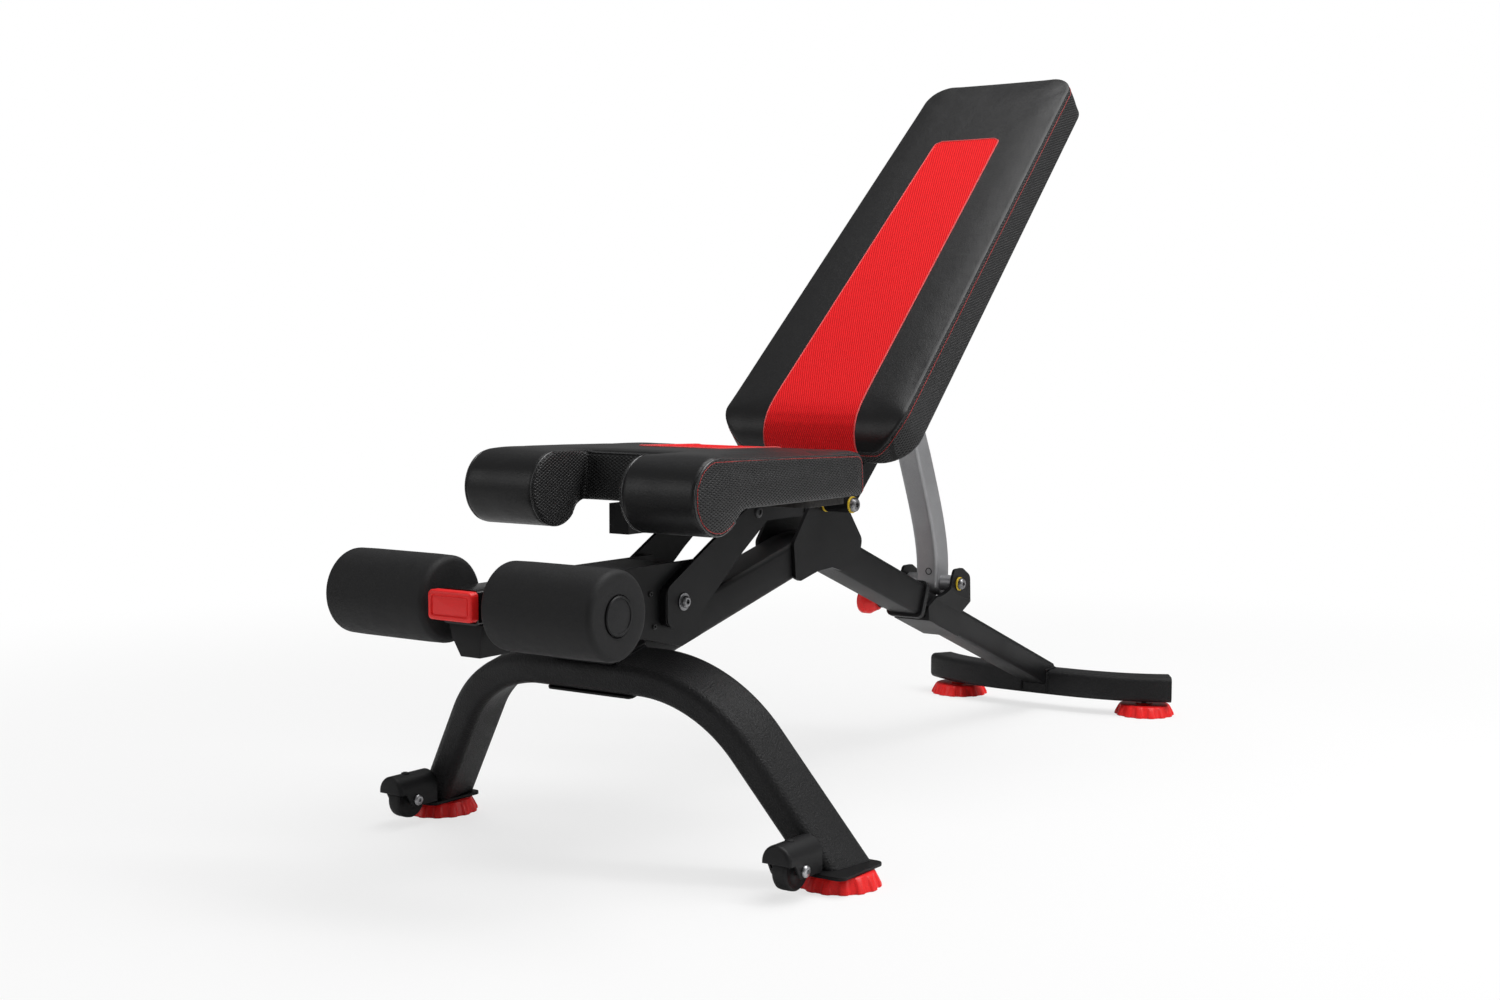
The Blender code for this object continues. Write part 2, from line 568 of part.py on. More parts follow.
def add_seat_pad():
    """A flat cushion with a thick roll across its front, split by a notch in the middle."""
    roll = arc((ROLL_Y, ROLL_Z), ROLL_RADIUS, 95, 318, 14)
    flat = [(0.0015, SEAT_LOW), (SEAT_REAR_Y, SEAT_LOW), (SEAT_REAR_Y, SEAT_HIGH - 0.003),
            (0.06, SEAT_HIGH + 0.002)]
    outline = rounded(roll + flat, [0] * (len(roll) + 1) + [0.008, 0.010, 0])
    pad = piece("seat_pad", slab(outline, -SEAT_HALF, SEAT_HALF), BENCH, "black_vinyl")
    combine(pad, box((-NOTCH_HALF, NOTCH_HALF), (-0.2, NOTCH_REAR_Y), (0.3, 0.6)), BENCH)


# ---- back rest ----------------------------------------------------------------------------------
def add_hinge():
    axle = piece("hinge_axle", rod(0.0060, -0.0755, 0.0755, "X", (HINGE_Y, HINGE_Z)), BENCH, "steel")
    for side, sign in SIDES:
        combine(axle, rod(0.0095, *both(0.0722, 0.0790, sign), "X", (HINGE_Y, HINGE_Z)), BENCH, "UNION")
        for end, flange, barrel in (("inner", (0.0305, 0.0328), (0.0325, 0.0420)),
                                    ("outer", (0.0697, 0.0719), (0.0600, 0.0700))):
            bush = piece(f"hinge_bush_{end}_{side}", rod(0.0110, *both(*flange, sign), "X"), BACK,
                         "yellow_plastic")
            combine(bush, rod(0.0082, *both(*barrel, sign), "X"), BACK, "UNION")
            combine(bush, rod(0.0062, *both(0.02, 0.08, sign), "X"), BACK)


def add_back_rails():
    """Two side rails, each with a sleeve on the hinge and a groove that the strut's pin runs in."""
    for side, sign in SIDES:
        across = both(BACK_RAIL_INNER, BACK_RAIL_OUTER, sign)
        rail = piece(f"back_rail_{side}",
                     box(across, (0.0, BACK_RAIL_END), (BACK_RAIL_LOW, BACK_RAIL_HIGH)), BACK, "black_frame")
        combine(rail, rod(0.0105, *both(0.0331, 0.0694, sign), "X"), BACK, "UNION")
        combine(rail, box(both(0.02, 0.0460, sign), (TRACK_START - 0.007, TRACK_END + 0.007),
                          (-TRACK_HALF, TRACK_HALF)), BACK)
        combine(rail, box(both(0.0480, 0.0620, sign), (0.020, 0.9), (-0.0115, 0.0092)), BACK)
        combine(rail, rod(0.0084, *both(0.01, 0.09, sign), "X"), BACK)


def pad_plan(inset, start, end):
    """Front view of the back pad: narrower towards its top, with rounded corners."""
    low, high = PAD_HALF_START - inset, PAD_HALF_END - inset
    radii = [PAD_CORNER_LOW - inset] * 2 + [PAD_CORNER_HIGH - inset] * 2
    return rounded([(-low, start), (low, start), (high, end), (-high, end)], radii, 5)


def board_back(along):
    """Height of the board's back face above the hinge line: it lies at a slight slope on the rails."""
    return BACK_RAIL_HIGH + GAP + (along - BOARD_START) * BOARD_SLOPE


def add_back_rest():
    """Rails, cross members, board and pad; the pad's front rolls over to its lower end."""
    add_back_rails()
    reach = BACK_RAIL_INNER - GAP
    piece("back_cross_lower", box((-reach, reach), (0.096, 0.118), (-0.0020, BACK_RAIL_HIGH)), BACK,
          "black_frame")
    low, high = BACK_RAIL_END - 0.018, BACK_RAIL_END
    upper = [(low, -0.0120), (high, -0.0120), (high, board_back(high) - GAP), (low, board_back(low) - GAP)]
    piece("back_cross_upper", slab(upper, -reach, reach), BACK, "black_frame")
    start, end = BOARD_START, PAD_END - BOARD_INSET
    side = [(start, board_back(start)), (end, board_back(end)), (end, board_back(end) + BOARD_THICK),
            (start, board_back(start) + BOARD_THICK)]
    board = piece("back_board", slab(side, -0.2, 0.2), BACK, "board")
    combine(board, slab(pad_plan(BOARD_INSET, start, end), -0.1, 0.2, "top"), BACK, "INTERSECT")
    lift = BOARD_THICK + 0.0005
    side = rounded(
        [(PAD_START, board_back(PAD_START) + lift), (PAD_END, board_back(PAD_END) + lift),
         (PAD_END, PAD_HIGH_END), (PAD_START, PAD_HIGH_START)], [0.004, 0.004, 0.006, PAD_ROLL], 5)
    pad = piece("back_pad", slab(side, -0.2, 0.2), BACK, "black_vinyl")
    combine(pad, slab(pad_plan(0, PAD_START, PAD_END), -0.1, 0.2, "top"), BACK, "INTERSECT")


# ---- strut --------------------------------------------------------------------------------------
def strut_path(first, last):
    """Bowed centre line from the foot of the strut to its upper pin, between two of its steps."""
    curve = bezier([(0, 0), (0.081, -0.0395), (0.221, 0.0193), (PIVOT_RUN, 0)], 12)
    return curve[first:last + 1]


def add_strut():
    path = strut_path(0, 12)
    halves = [STRUT_DEPTH / 2 - max(0, i - 7) * 0.0019 for i in range(13)]
    body = bar(path, halves, -STRUT_HALF_WIDTH, STRUT_HALF_WIDTH, "side", 0.004)
    strut = piece("strut", body, STRUT, "silver_paint")
    combine(strut, rod(STRUT_DEPTH / 2, -STRUT_HALF_WIDTH, STRUT_HALF_WIDTH, "X", sides=24), STRUT, "UNION")
    combine(strut, rod(0.0100, -STRUT_HALF_WIDTH, STRUT_HALF_WIDTH, "X", (PIVOT_RUN, 0)), STRUT, "UNION")
    combine(strut, rod(0.0115, -0.0385, 0.0385, "X"), STRUT, "UNION")
    wall = 0.003
    hollow = [half - wall for half in halves[2:11]]
    inner = bar(strut_path(2, 10), hollow, -STRUT_HALF_WIDTH + wall, STRUT_HALF_WIDTH - wall)
    combine(strut, inner, STRUT)
    drain_at = strut_path(4, 4)[0]
    combine(strut, rod(0.004, 0.0, 0.05, "Z", (0, drain_at[0])), STRUT)
    combine(strut, rod(0.0064, -0.05, 0.05, "X"), STRUT)
    combine(strut, rod(PIN_RADIUS + GAP, -0.05, 0.05, "X", (PIVOT_RUN, 0)), STRUT)
    pin = piece("strut_pin", rod(PIN_RADIUS, -0.0452, 0.0452, "X"), STRUT, "steel")
    pin.location = (0, PIVOT_RUN, 0)


def add_strut_pivot():
    place = (STRUT_Y, STRUT_Z)
    bolt = piece("strut_bolt", rod(0.0060, -0.0505, 0.0505, "X", place), BENCH, "steel")
    for side, sign in SIDES:
        combine(bolt, rod(0.0085, *both(0.0468, 0.0530, sign), "X", place), BENCH, "UNION")
        bush = piece(f"strut_bush_{side}", rod(0.0098, *both(EAR_OUTER + GAP, EAR_OUTER + 0.0025, sign), "X",
                                               place), BENCH, "yellow_plastic")
        combine(bush, rod(0.0078, *both(EAR_INNER + 0.0004, EAR_OUTER + 0.001, sign), "X", place), BENCH,
                "UNION")
        combine(bush, rod(0.0062, *both(0.03, 0.06, sign), "X", place), BENCH)


# ---- rear leg -----------------------------------------------------------------------------------
LEG_HALF_WIDTH, LEG_HALF_HEIGHT = 0.0222, 0.0203


def add_rear_leg():
    start = (0.560 - HUMP_Y) / math.cos(REAR_SLOPE)
    end = (1.110 - HUMP_Y) / math.cos(REAR_SLOPE)
    leg = piece("rear_leg", bar([(start, 0), (end, 0)], LEG_HALF_HEIGHT, -LEG_HALF_WIDTH, LEG_HALF_WIDTH,
                                "side", 0.007), TAIL, "black_frame")
    combine(leg, bar([(start - 0.01, 0), (end + 0.01, 0)], LEG_HALF_HEIGHT - TUBE_WALL,
                     -LEG_HALF_WIDTH + TUBE_WALL, LEG_HALF_WIDTH - TUBE_WALL, "side", 0.005), TAIL)
    front = BAR_MIDDLE_Y - BAR_DEPTH / 2 - 0.0005
    cut = [(front, -0.2), (1.3, -0.2), (1.3, BAR_HIGH + GAP), (front, BAR_HIGH + GAP)]
    combine(leg, slab(cut, -0.1, 0.1), BENCH)
    combine(leg, box((-0.1, 0.1), (1.088, 1.3), (0, 0.3)), BENCH)
    combine(leg, rod(0.0046, -0.03, -0.015, "X", (KNOB_Y, tail_height(KNOB_Y) + KNOB_DROP)), BENCH)
    collar_start = (RAIL_END_Y - HUMP_Y) / math.cos(REAR_SLOPE) + GAP
    collar = piece("rail_collar",
                   slab(rounded([(-0.0292, -0.0272), (0.0292, -0.0272), (0.0292, 0.0272), (-0.0292, 0.0272)],
                                0.008), collar_start, collar_start + 0.0090, "front"), TAIL, "black_plastic")
    combine(collar, box((-LEG_HALF_WIDTH - 0.0004, LEG_HALF_WIDTH + 0.0004),
                        (collar_start - 0.01, collar_start + 0.02),
                        (-LEG_HALF_HEIGHT - 0.0004, LEG_HALF_HEIGHT + 0.0004)), TAIL)


def add_saddle():
    """A channel under the rear leg, whose sides flare out and up into two ears for the strut."""
    half, floor = LEG_HALF_WIDTH + 0.0006, -LEG_HALF_HEIGHT - 0.0005
    inner = [(half, floor), (half, 0.012), (EAR_INNER, 0.031), (EAR_INNER, 0.09)]
    outer = [(SADDLE_HALF, floor - 0.004), (SADDLE_HALF, 0.010), (EAR_OUTER, 0.0275), (EAR_OUTER, 0.09)]
    section = ([(-x, z) for x, z in reversed(outer)] + outer
               + list(reversed(inner)) + [(-x, z) for x, z in inner])
    start, end = 0.29, 0.42
    saddle = piece("strut_saddle", slab(section, start, end, "front"), TAIL, "black_frame")
    profile = rounded([(0.6650, 0.1850), (0.7480, 0.1520), (0.7560, 0.1690), (0.7590, 0.2050),
                       (0.7570, 0.2470), (0.7340, 0.2600), (0.7100, 0.2600), (0.6950, 0.2250),
                       (0.6600, 0.2100)],
                      [0.003, 0.003, 0.01, 0.02, 0.011, 0.011, 0.008, 0.015, 0.005])
    combine(saddle, slab(profile, -0.06, 0.06), BENCH, "INTERSECT")
    combine(saddle, rod(0.0080, -0.06, 0.06, "X", (STRUT_Y, STRUT_Z)), BENCH)


def bar_path(reach, steps=12):
    """Centre line of the rear foot bar: straight in the middle and swept back at its ends."""
    points = []
    for i in range(steps + 1):
        x = -reach + 2 * reach * i / steps
        points.append((x, BAR_MIDDLE_Y + BAR_SWEEP * abs(x / BAR_HALF_LENGTH) ** 3))
    return points


def add_rear_bar():
    foot_bar = piece("rear_foot_bar", bar(bar_path(BAR_HALF_LENGTH), BAR_DEPTH / 2, BAR_LOW, BAR_HIGH, "top",
                                          0.007), BENCH, "black_textured")
    wall = TUBE_WALL
    combine(foot_bar, bar(bar_path(BAR_HALF_LENGTH + 0.012, 14), BAR_DEPTH / 2 - wall, BAR_LOW + wall,
                          BAR_HIGH - wall, "top", 0.005), BENCH)
    for side, sign in SIDES:
        combine(foot_bar, rod(STUD_RADIUS + 0.0006, BAR_LOW - 0.01, BAR_LOW + 0.01, "Z",
                              (sign * REAR_FEET_HALF, REAR_FEET_Y)), BENCH)
        inner_end, outer_end = (Vector(point) for point in bar_path(BAR_HALF_LENGTH + 0.012, 14)[-2:])
        plug = [tuple(inner_end.lerp(outer_end, share)) for share in (0.30, 0.50)]
        piece(f"foot_bar_cap_{side}",
              bar([(sign * x, y) for x, y in plug][::sign], BAR_DEPTH / 2 - wall - 0.0006,
                  BAR_LOW + wall + 0.0006, BAR_HIGH - wall - 0.0006, "top", 0.004), BENCH, "black_plastic")


# ---- pull pin -----------------------------------------------------------------------------------
def add_pull_pin():
    """A spring pin through the rear tube and the leg, with a red knob on the left side."""
    place = (KNOB_Y, tail_height(KNOB_Y) + KNOB_DROP)
    barrel = piece("pull_pin_barrel", rod(0.0085, -0.0325, -RAIL_WIDTH / 2 - GAP, "X", place), BENCH,
                   "black_plastic")
    combine(barrel, rod(0.0046, -0.05, -0.02, "X", place), BENCH)
    pin = piece("pull_pin", rod(0.0042, -0.0550, -0.0185, "X"), BENCH, "steel")
    pin.location = (0, *place)
    knob = piece("pull_knob", rod(0.0185, -0.0480, -0.0340, "X", sides=24, end_radius=0.0125), BENCH,
                 "red_plastic")
    knob.location = (0, *place)
    combine(knob, rod(0.0185, -0.0620, -0.0475, "X", sides=24), knob, "UNION")
    combine(knob, rod(0.0045, -0.0555, -0.02, "X"), knob)


def main():
    add_front_leg()
    add_foot_plates()
    add_feet()
    add_wheels()
    add_main_rail()
    add_hump_plates()
    add_front_housing()
    add_brace_socket()
    add_brace()
    add_seat_arms()
    add_seat_frame()
    add_seat_pad()
    add_hinge()
    add_back_rest()
    add_strut()
    add_strut_pivot()
    add_rear_leg()
    add_saddle()
    add_rear_bar()
    add_pull_pin()
    for obj in bpy.data.objects:
        if obj.parent is None:
            obj.location.y -= MIDDLE_Y


main()
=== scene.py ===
"""Looks of the adjustable sit up bench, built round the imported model, in metres and +Z up.

Side views are drawn as (Y, Z) outlines measured from the line between the two front feet, as in the
CAD source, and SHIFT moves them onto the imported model.
"""

import json
import math

import bmesh
import bpy
import numpy as np
from mathutils import Matrix, Vector
from mathutils.bvhtree import BVHTree
from mathutils.kdtree import KDTree

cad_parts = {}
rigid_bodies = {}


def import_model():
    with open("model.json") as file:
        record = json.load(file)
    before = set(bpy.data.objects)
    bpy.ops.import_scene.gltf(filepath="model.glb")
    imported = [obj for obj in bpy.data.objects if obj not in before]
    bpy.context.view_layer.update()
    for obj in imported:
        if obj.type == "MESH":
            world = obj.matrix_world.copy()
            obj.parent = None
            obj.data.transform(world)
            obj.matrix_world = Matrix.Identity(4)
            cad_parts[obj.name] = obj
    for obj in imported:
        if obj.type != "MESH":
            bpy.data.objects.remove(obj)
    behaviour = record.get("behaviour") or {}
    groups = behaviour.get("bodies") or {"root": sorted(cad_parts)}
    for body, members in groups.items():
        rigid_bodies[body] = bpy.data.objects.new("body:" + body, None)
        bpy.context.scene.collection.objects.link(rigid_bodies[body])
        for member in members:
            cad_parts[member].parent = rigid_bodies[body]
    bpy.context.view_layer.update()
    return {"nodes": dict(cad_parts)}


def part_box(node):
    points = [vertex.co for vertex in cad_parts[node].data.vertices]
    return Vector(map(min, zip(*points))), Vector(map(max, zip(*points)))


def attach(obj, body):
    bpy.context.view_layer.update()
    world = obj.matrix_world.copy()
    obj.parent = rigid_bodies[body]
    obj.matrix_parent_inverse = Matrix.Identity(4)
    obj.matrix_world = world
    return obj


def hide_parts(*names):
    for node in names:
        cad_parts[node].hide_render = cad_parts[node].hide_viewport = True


for leftover in list(bpy.data.objects):
    bpy.data.objects.remove(leftover)
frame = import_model()
NODES = frame["nodes"]

# ---- frames of the bench
SHIFT = sum(corner[1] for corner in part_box("foot_front_right")) / 2
FRONT_SLOPE, REAR_SLOPE, BACK_ANGLE = 13.7, -21.3, 42.6      # degrees
HUMP_Y, HUMP_Z = 0.389, 0.3232
HINGE_Y, HINGE_Z = 0.384, 0.376
STRUT_Y, STRUT_Z = 0.722, 0.238
STRUT_ANGLE = 2 * BACK_ANGLE - math.degrees(math.atan2(STRUT_Z - HINGE_Z, STRUT_Y - HINGE_Y))
PIVOT_RUN = math.hypot(STRUT_Y - HINGE_Y, STRUT_Z - HINGE_Z)


def axes(y, z, degrees):
    """A frame at (y, z) of the side view, turned about X."""
    return Matrix.Translation((0, y + SHIFT, z)) @ Matrix.Rotation(math.radians(degrees), 4, "X")


BENCH = axes(0, 0, 0)
ARCH_Y = 0.0097
ARCH = axes(ARCH_Y, 0, FRONT_SLOPE)
TAIL = axes(HUMP_Y, HUMP_Z, REAR_SLOPE)
BACK = axes(HINGE_Y, HINGE_Z, BACK_ANGLE)
STRUT = axes(STRUT_Y, STRUT_Z, STRUT_ANGLE)
SIDES = (("left", -1), ("right", 1))
UPRIGHT = Matrix.Rotation(math.radians(-90), 4, "Y")       # turns a lathe's X axis to +Z


def at(x, y, z):
    """A place in the bench's own frame."""
    return BENCH @ Matrix.Translation((x, y, z))


# ---- materials
class Look:
    """A node material under construction; its patterns are drawn in the bench's own metres."""

    def __init__(self, name, colour, roughness, **sockets):
        self.material = bpy.data.materials.new(name)
        self.material.use_nodes = True
        self.tree = self.material.node_tree
        self.shader = self.tree.nodes["Principled BSDF"]
        self.shader.inputs["Base Color"].default_value = (*colour, 1)
        self.shader.inputs["Roughness"].default_value = roughness
        for socket, value in sockets.items():
            self.shader.inputs[socket.replace("_", " ")].default_value = value
        coordinates = self.tree.nodes.new("ShaderNodeTexCoord")
        self.place, self.normal = coordinates.outputs["Object"], coordinates.outputs["Normal"]

    def node(self, kind, inputs, **settings):
        new = self.tree.nodes.new("ShaderNode" + kind)
        for name, value in settings.items():
            setattr(new, name, value)
        for key, value in inputs.items():
            if isinstance(value, bpy.types.NodeSocket):
                self.tree.links.new(value, new.inputs[key])
            else:
                new.inputs[key].default_value = value
        return new

    def math(self, operation, first, second=0.0):
        return self.node("Math", {0: first, 1: second}, operation=operation).outputs[0]

    def noise(self, scale, detail=2.0):
        return self.node("TexNoise", {"Vector": self.place, "Scale": scale, "Detail": detail}).outputs[0]

    def cells(self, scale):
        return self.node("TexVoronoi", {"Vector": self.place, "Scale": scale}, feature="F1").outputs[0]

    def fit(self, value, low, high, to_low=0.0, to_high=1.0):
        return self.node("MapRange", {0: value, 1: low, 2: high, 3: to_low, 4: to_high},
                         interpolation_type="SMOOTHSTEP").outputs[0]

    def weighted(self, first, share, second, other):
        return self.math("ADD", self.math("MULTIPLY", first, share), self.math("MULTIPLY", second, other))

    def tint(self, share, first, second):
        """A colour between two, each a node's socket or three numbers."""
        first, second = ((*c, 1) if isinstance(c, tuple) else c for c in (first, second))
        return self.node("Mix", {0: share, 6: first, 7: second}, data_type="RGBA").outputs[2]

    def blend(self, share, first, second):
        return self.node("Mix", {0: share, 2: first, 3: second}, data_type="FLOAT").outputs[0]

    def dots(self, wide, narrow, pitch):
        """Staggered dots, `pitch` apart along `narrow` and wider apart along `wide`."""
        rows = self.math("COSINE", self.math("MULTIPLY", wide, 2 * math.pi / (pitch * math.sqrt(3))))
        columns = self.math("COSINE", self.math("MULTIPLY", narrow, 2 * math.pi / pitch))
        return self.math("MULTIPLY", rows, columns)

    def bump(self, height, depth, after=None):
        inputs = {"Height": height, "Distance": depth, "Strength": 1.0}
        if after is not None:
            inputs["Normal"] = after
        return self.node("Bump", inputs).outputs[0]

    def axes_of(self, degrees):
        """(x, along, up) of the place after a turn about X, for patterns on a tilted pad."""
        turned = self.node("VectorRotate", {"Vector": self.place, "Angle": math.radians(-degrees)},
                           rotation_type="X_AXIS").outputs[0]
        return self.node("SeparateXYZ", {0: turned}).outputs

    def on_side(self, low=0.45, high=0.62):
        """1 on faces that look across the bench, 0 elsewhere."""
        across = self.node("SeparateXYZ", {0: self.normal}).outputs[0]
        return self.fit(self.math("ABSOLUTE", across), low, high)

    def use(self, colour=None, roughness=None, normal=None):
        for socket, value in (("Base Color", colour), ("Roughness", roughness), ("Normal", normal)):
            if value is not None:
                self.tree.links.new(value, self.shader.inputs[socket])
        return self.material


def coat(name, colour, roughness, grain, depth, metallic=0.0, spread=0.06, gloss=0.24):
    """Paint or moulded plastic: fine grain in its surface and slow changes of shade and gloss."""
    look = Look(name, colour, roughness, Metallic=metallic, Specular_IOR_Level=gloss)
    slow, fine = look.noise(9.0, 3.0), look.noise(grain, 3.0)
    lighter = tuple(min(1.0, value * 1.22 + 0.0015) for value in colour)
    darker = tuple(value * 0.84 for value in colour)
    shade = look.weighted(slow, 0.5, fine, 0.5)
    return look.use(look.tint(look.fit(shade, 0.36, 0.64), darker, lighter),
                    look.fit(shade, 0.3, 0.7, roughness + spread, roughness - spread),
                    look.bump(fine, depth))


def vinyl(name, degrees=None):
    """Black vinyl with a fine pebble. A perforated panel gives the angle at which its pad lies."""
    look = Look(name, (0.0085, 0.0085, 0.009), 0.38, Specular_IOR_Level=0.34)
    pebble = look.cells(620.0)
    folds = look.noise(38.0, 4.0)
    shade = look.weighted(pebble, 0.5, folds, 0.6)
    gloss = look.fit(shade, 0.2, 0.8, 0.31, 0.42)
    normal = look.bump(folds, 0.0006, look.bump(pebble, 0.00012))
    if degrees is None:
        light, dark = (0.0115, 0.0115, 0.012), (0.007, 0.007, 0.0075)
        return look.use(look.tint(look.fit(shade, 0.2, 0.8), light, dark), gloss, normal)
    colour = look.tint(look.fit(shade, 0.2, 0.8), (0.026, 0.026, 0.0266), (0.017, 0.017, 0.0176))
    across, along, up = look.axes_of(degrees)
    dots = look.dots(look.blend(look.on_side(), across, along), up, 0.0039)
    hole = look.fit(dots, 0.22, 0.5)
    dip = look.math("MULTIPLY", look.fit(dots, -0.6, 0.65), -1.0)
    return look.use(look.tint(hole, colour, (0.0015, 0.0015, 0.0016)), look.blend(hole, gloss, 0.8),
                    look.bump(dip, 0.0007, normal))


def red_weave(name, degrees):
    """Red upholstery cloth: staggered knots and slanting ribs."""
    look = Look(name, (0.8, 0.012, 0.014), 0.62, Specular_IOR_Level=0.1)
    across, along, _ = look.axes_of(degrees)
    pitch = 0.0031
    slant = look.weighted(across, 2 * math.pi / pitch, along, 2 * math.pi / (pitch * math.sqrt(3)))
    height = look.weighted(look.dots(along, across, pitch), 0.7, look.math("SINE", slant), 0.3)
    fibre = look.noise(2600.0, 2.0)
    height = look.math("ADD", height, look.math("MULTIPLY", fibre, 0.25))
    colour = look.tint(look.fit(height, -0.7, 0.9), (0.52, 0.004, 0.006), (0.98, 0.02, 0.024))
    return look.use(colour, look.fit(fibre, 0.3, 0.7, 0.55, 0.72), look.bump(height, 0.0003))


def foam(name):
    """Closed-cell foam: fine pores and a slightly uneven skin."""
    look = Look(name, (0.0085, 0.0085, 0.009), 0.62, Specular_IOR_Level=0.3)
    pores, skin = look.cells(1100.0), look.noise(70.0, 4.0)
    shade = look.weighted(pores, 0.5, skin, 0.5)
    colour = look.tint(look.fit(shade, 0.2, 0.7), (0.006, 0.006, 0.0065), (0.013, 0.013, 0.0136))
    return look.use(colour, look.fit(shade, 0.2, 0.7, 0.52, 0.7),
                    look.bump(skin, 0.0005, look.bump(pores, 0.00015)))


def thread(name, colour):
    """Twisted sewing thread."""
    look = Look(name, colour, 0.55, Sheen_Weight=0.2)
    twist = look.node("TexWave", {"Vector": look.place, "Scale": 900.0, "Distortion": 1.0},
                      bands_direction="DIAGONAL").outputs[1]
    dark = tuple(value * 0.45 for value in colour)
    return look.use(look.tint(twist, dark, colour), look.fit(twist, 0, 1, 0.7, 0.5),
                    look.bump(twist, 0.0001))


def brushed_steel(name, colour, roughness):
    """Bare or zinc-plated steel."""
    look = Look(name, colour, roughness, Metallic=1.0)
    fine, slow = look.noise(900.0, 4.0), look.noise(60.0, 3.0)
    shade = look.weighted(fine, 0.5, slow, 0.5)
    dark = tuple(value * 0.6 for value in colour)
    return look.use(look.tint(look.fit(shade, 0.35, 0.65), dark, colour),
                    look.fit(shade, 0.3, 0.7, roughness + 0.12, roughness - 0.06),
                    look.bump(fine, 0.00004))


def fibre_board(name):
    """Dark painted board."""
    look = Look(name, (0.02, 0.018, 0.017), 0.75)
    grain = look.noise(260.0, 6.0)
    return look.use(look.tint(look.fit(grain, 0.3, 0.7), (0.01, 0.009, 0.009), (0.035, 0.031, 0.028)),
                    None, look.bump(grain, 0.0003))


LOOKS = {
    "black_textured": coat("textured_coat", (0.0085, 0.0085, 0.0091), 0.46, 520.0, 0.0013, 0.0, 0.1),
    "black_frame": coat("satin_coat", (0.0058, 0.0058, 0.0063), 0.42, 1300.0, 0.00012, gloss=0.17),
    "silver_paint": coat("silver_paint_coat", (0.35, 0.35, 0.36), 0.42, 1500.0, 0.00005, 0.55, 0.04),
    "red_plastic": coat("moulded_red", (0.95, 0.017, 0.017), 0.38, 900.0, 0.00006, gloss=0.4),
    "yellow_plastic": coat("moulded_yellow", (0.72, 0.5, 0.04), 0.42, 900.0, 0.00006),
    "black_plastic": coat("moulded_black", (0.0085, 0.0085, 0.0092), 0.46, 1100.0, 0.00012),
    "black_vinyl": vinyl("pad_vinyl"),
    "black_foam": foam("roller_foam"),
    "steel": brushed_steel("dark_steel", (0.32, 0.32, 0.33), 0.34),
    "board": fibre_board("painted_board"),
    "seat_mesh": vinyl("seat_mesh_vinyl", 0.0),
    "back_mesh": vinyl("back_mesh_vinyl", BACK_ANGLE),
    "seat_red": red_weave("seat_red_cloth", 0.0),
    "back_red": red_weave("back_red_cloth", BACK_ANGLE),
    "red_thread": thread("red_stitching", (0.62, 0.02, 0.018)),
    "black_thread": thread("black_stitching", (0.012, 0.012, 0.013)),
    "welt": thread("red_welt_cord", (0.98, 0.075, 0.075)),
    "bright_steel": brushed_steel("zinc_steel", (0.62, 0.62, 0.64), 0.26),
    "black_screw": coat("blacked_screw", (0.022, 0.022, 0.023), 0.34, 1100.0, 0.00008, 0.4, 0.05, 0.5),
    # The piping is the cover's black vinyl, glossier and with a lighter colour. The gloss is real; the
    # lighter colour is a painted highlight.
    "piping": coat("piping_vinyl_painted_highlight", (0.02, 0.02, 0.021), 0.26, 900.0, 0.00015, gloss=0.6),
    "smooth_coat": coat("gloss_coat", (0.0075, 0.0075, 0.008), 0.17, 1300.0, 0.00004, 0.0, 0.03, 0.5),
    # Near-black coat, painted shade: it stands for the dark inside of the strut's drain hole.
    "recess": coat("painted_hole_shade_coat", (0.004, 0.004, 0.004), 0.7, 700.0, 0.0001),
}


# ---- meshes
def modify(obj, kind, **settings):
    modifier = obj.modifiers.new(kind.lower(), kind)
    for name, value in settings.items():
        setattr(modifier, name, value)
    return modifier


def soften(obj, width, segments=2):
    """Rounds the edges of a hard piece, so that they catch the light."""
    modify(obj, "BEVEL", width=width, segments=segments, limit_method="ANGLE",
           angle_limit=math.radians(32), harden_normals=False, use_clamp_overlap=True)
    modify(obj, "WEIGHTED_NORMAL", keep_sharp=True, weight=50)


def baked(name, bm):
    """A mesh from a bmesh, which is freed."""
    mesh = bpy.data.meshes.new(name)
    bm.to_mesh(mesh)
    bm.free()
    return mesh


def link(name, data):
    """A new object in the scene."""
    obj = bpy.data.objects.new(name, data)
    bpy.context.scene.collection.objects.link(obj)
    return obj


def place_mesh(name, mesh, body, looks, stands_for=()):
    obj = link(name, mesh)
    for look in looks:
        mesh.materials.append(LOOKS[look])
    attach(obj, body)
    if stands_for:
        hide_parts(*stands_for)
    return obj


def place(name, bm, axes_in, body, look, stands_for=(), bevel=0.0, sharp=32):
    """A piece from a bmesh that is drawn in one of the bench's frames."""
    bm.transform(axes_in)
    bmesh.ops.recalc_face_normals(bm, faces=bm.faces)
    mesh = baked(name, bm)
    mesh.shade_smooth()
    mesh.set_sharp_from_angle(angle=math.radians(sharp))
    obj = place_mesh(name, mesh, body, [look], stands_for)
    if bevel:
        soften(obj, bevel)
    return obj


def join(*parts):
    """One bmesh from several."""
    whole = bmesh.new()
    for part in parts:
        mesh = baked("part", part)
        whole.from_mesh(mesh)
        bpy.data.meshes.remove(mesh)
    return whole


def loft(rings, caps=True, loop=True):
    """Faces between rings of points that have the same count; the ends are closed by flat caps."""
    bm = bmesh.new()
    made = [[bm.verts.new(point) for point in ring] for ring in rings]
    for first, second in zip(made, made[1:]):
        count = len(first)
        for i in range(count if loop else count - 1):
            j = (i + 1) % count
            bm.faces.new((first[i], first[j], second[j], second[i]))
    if caps:
        bm.faces.new(made[0][::-1])
        bm.faces.new(made[-1])
    return bm


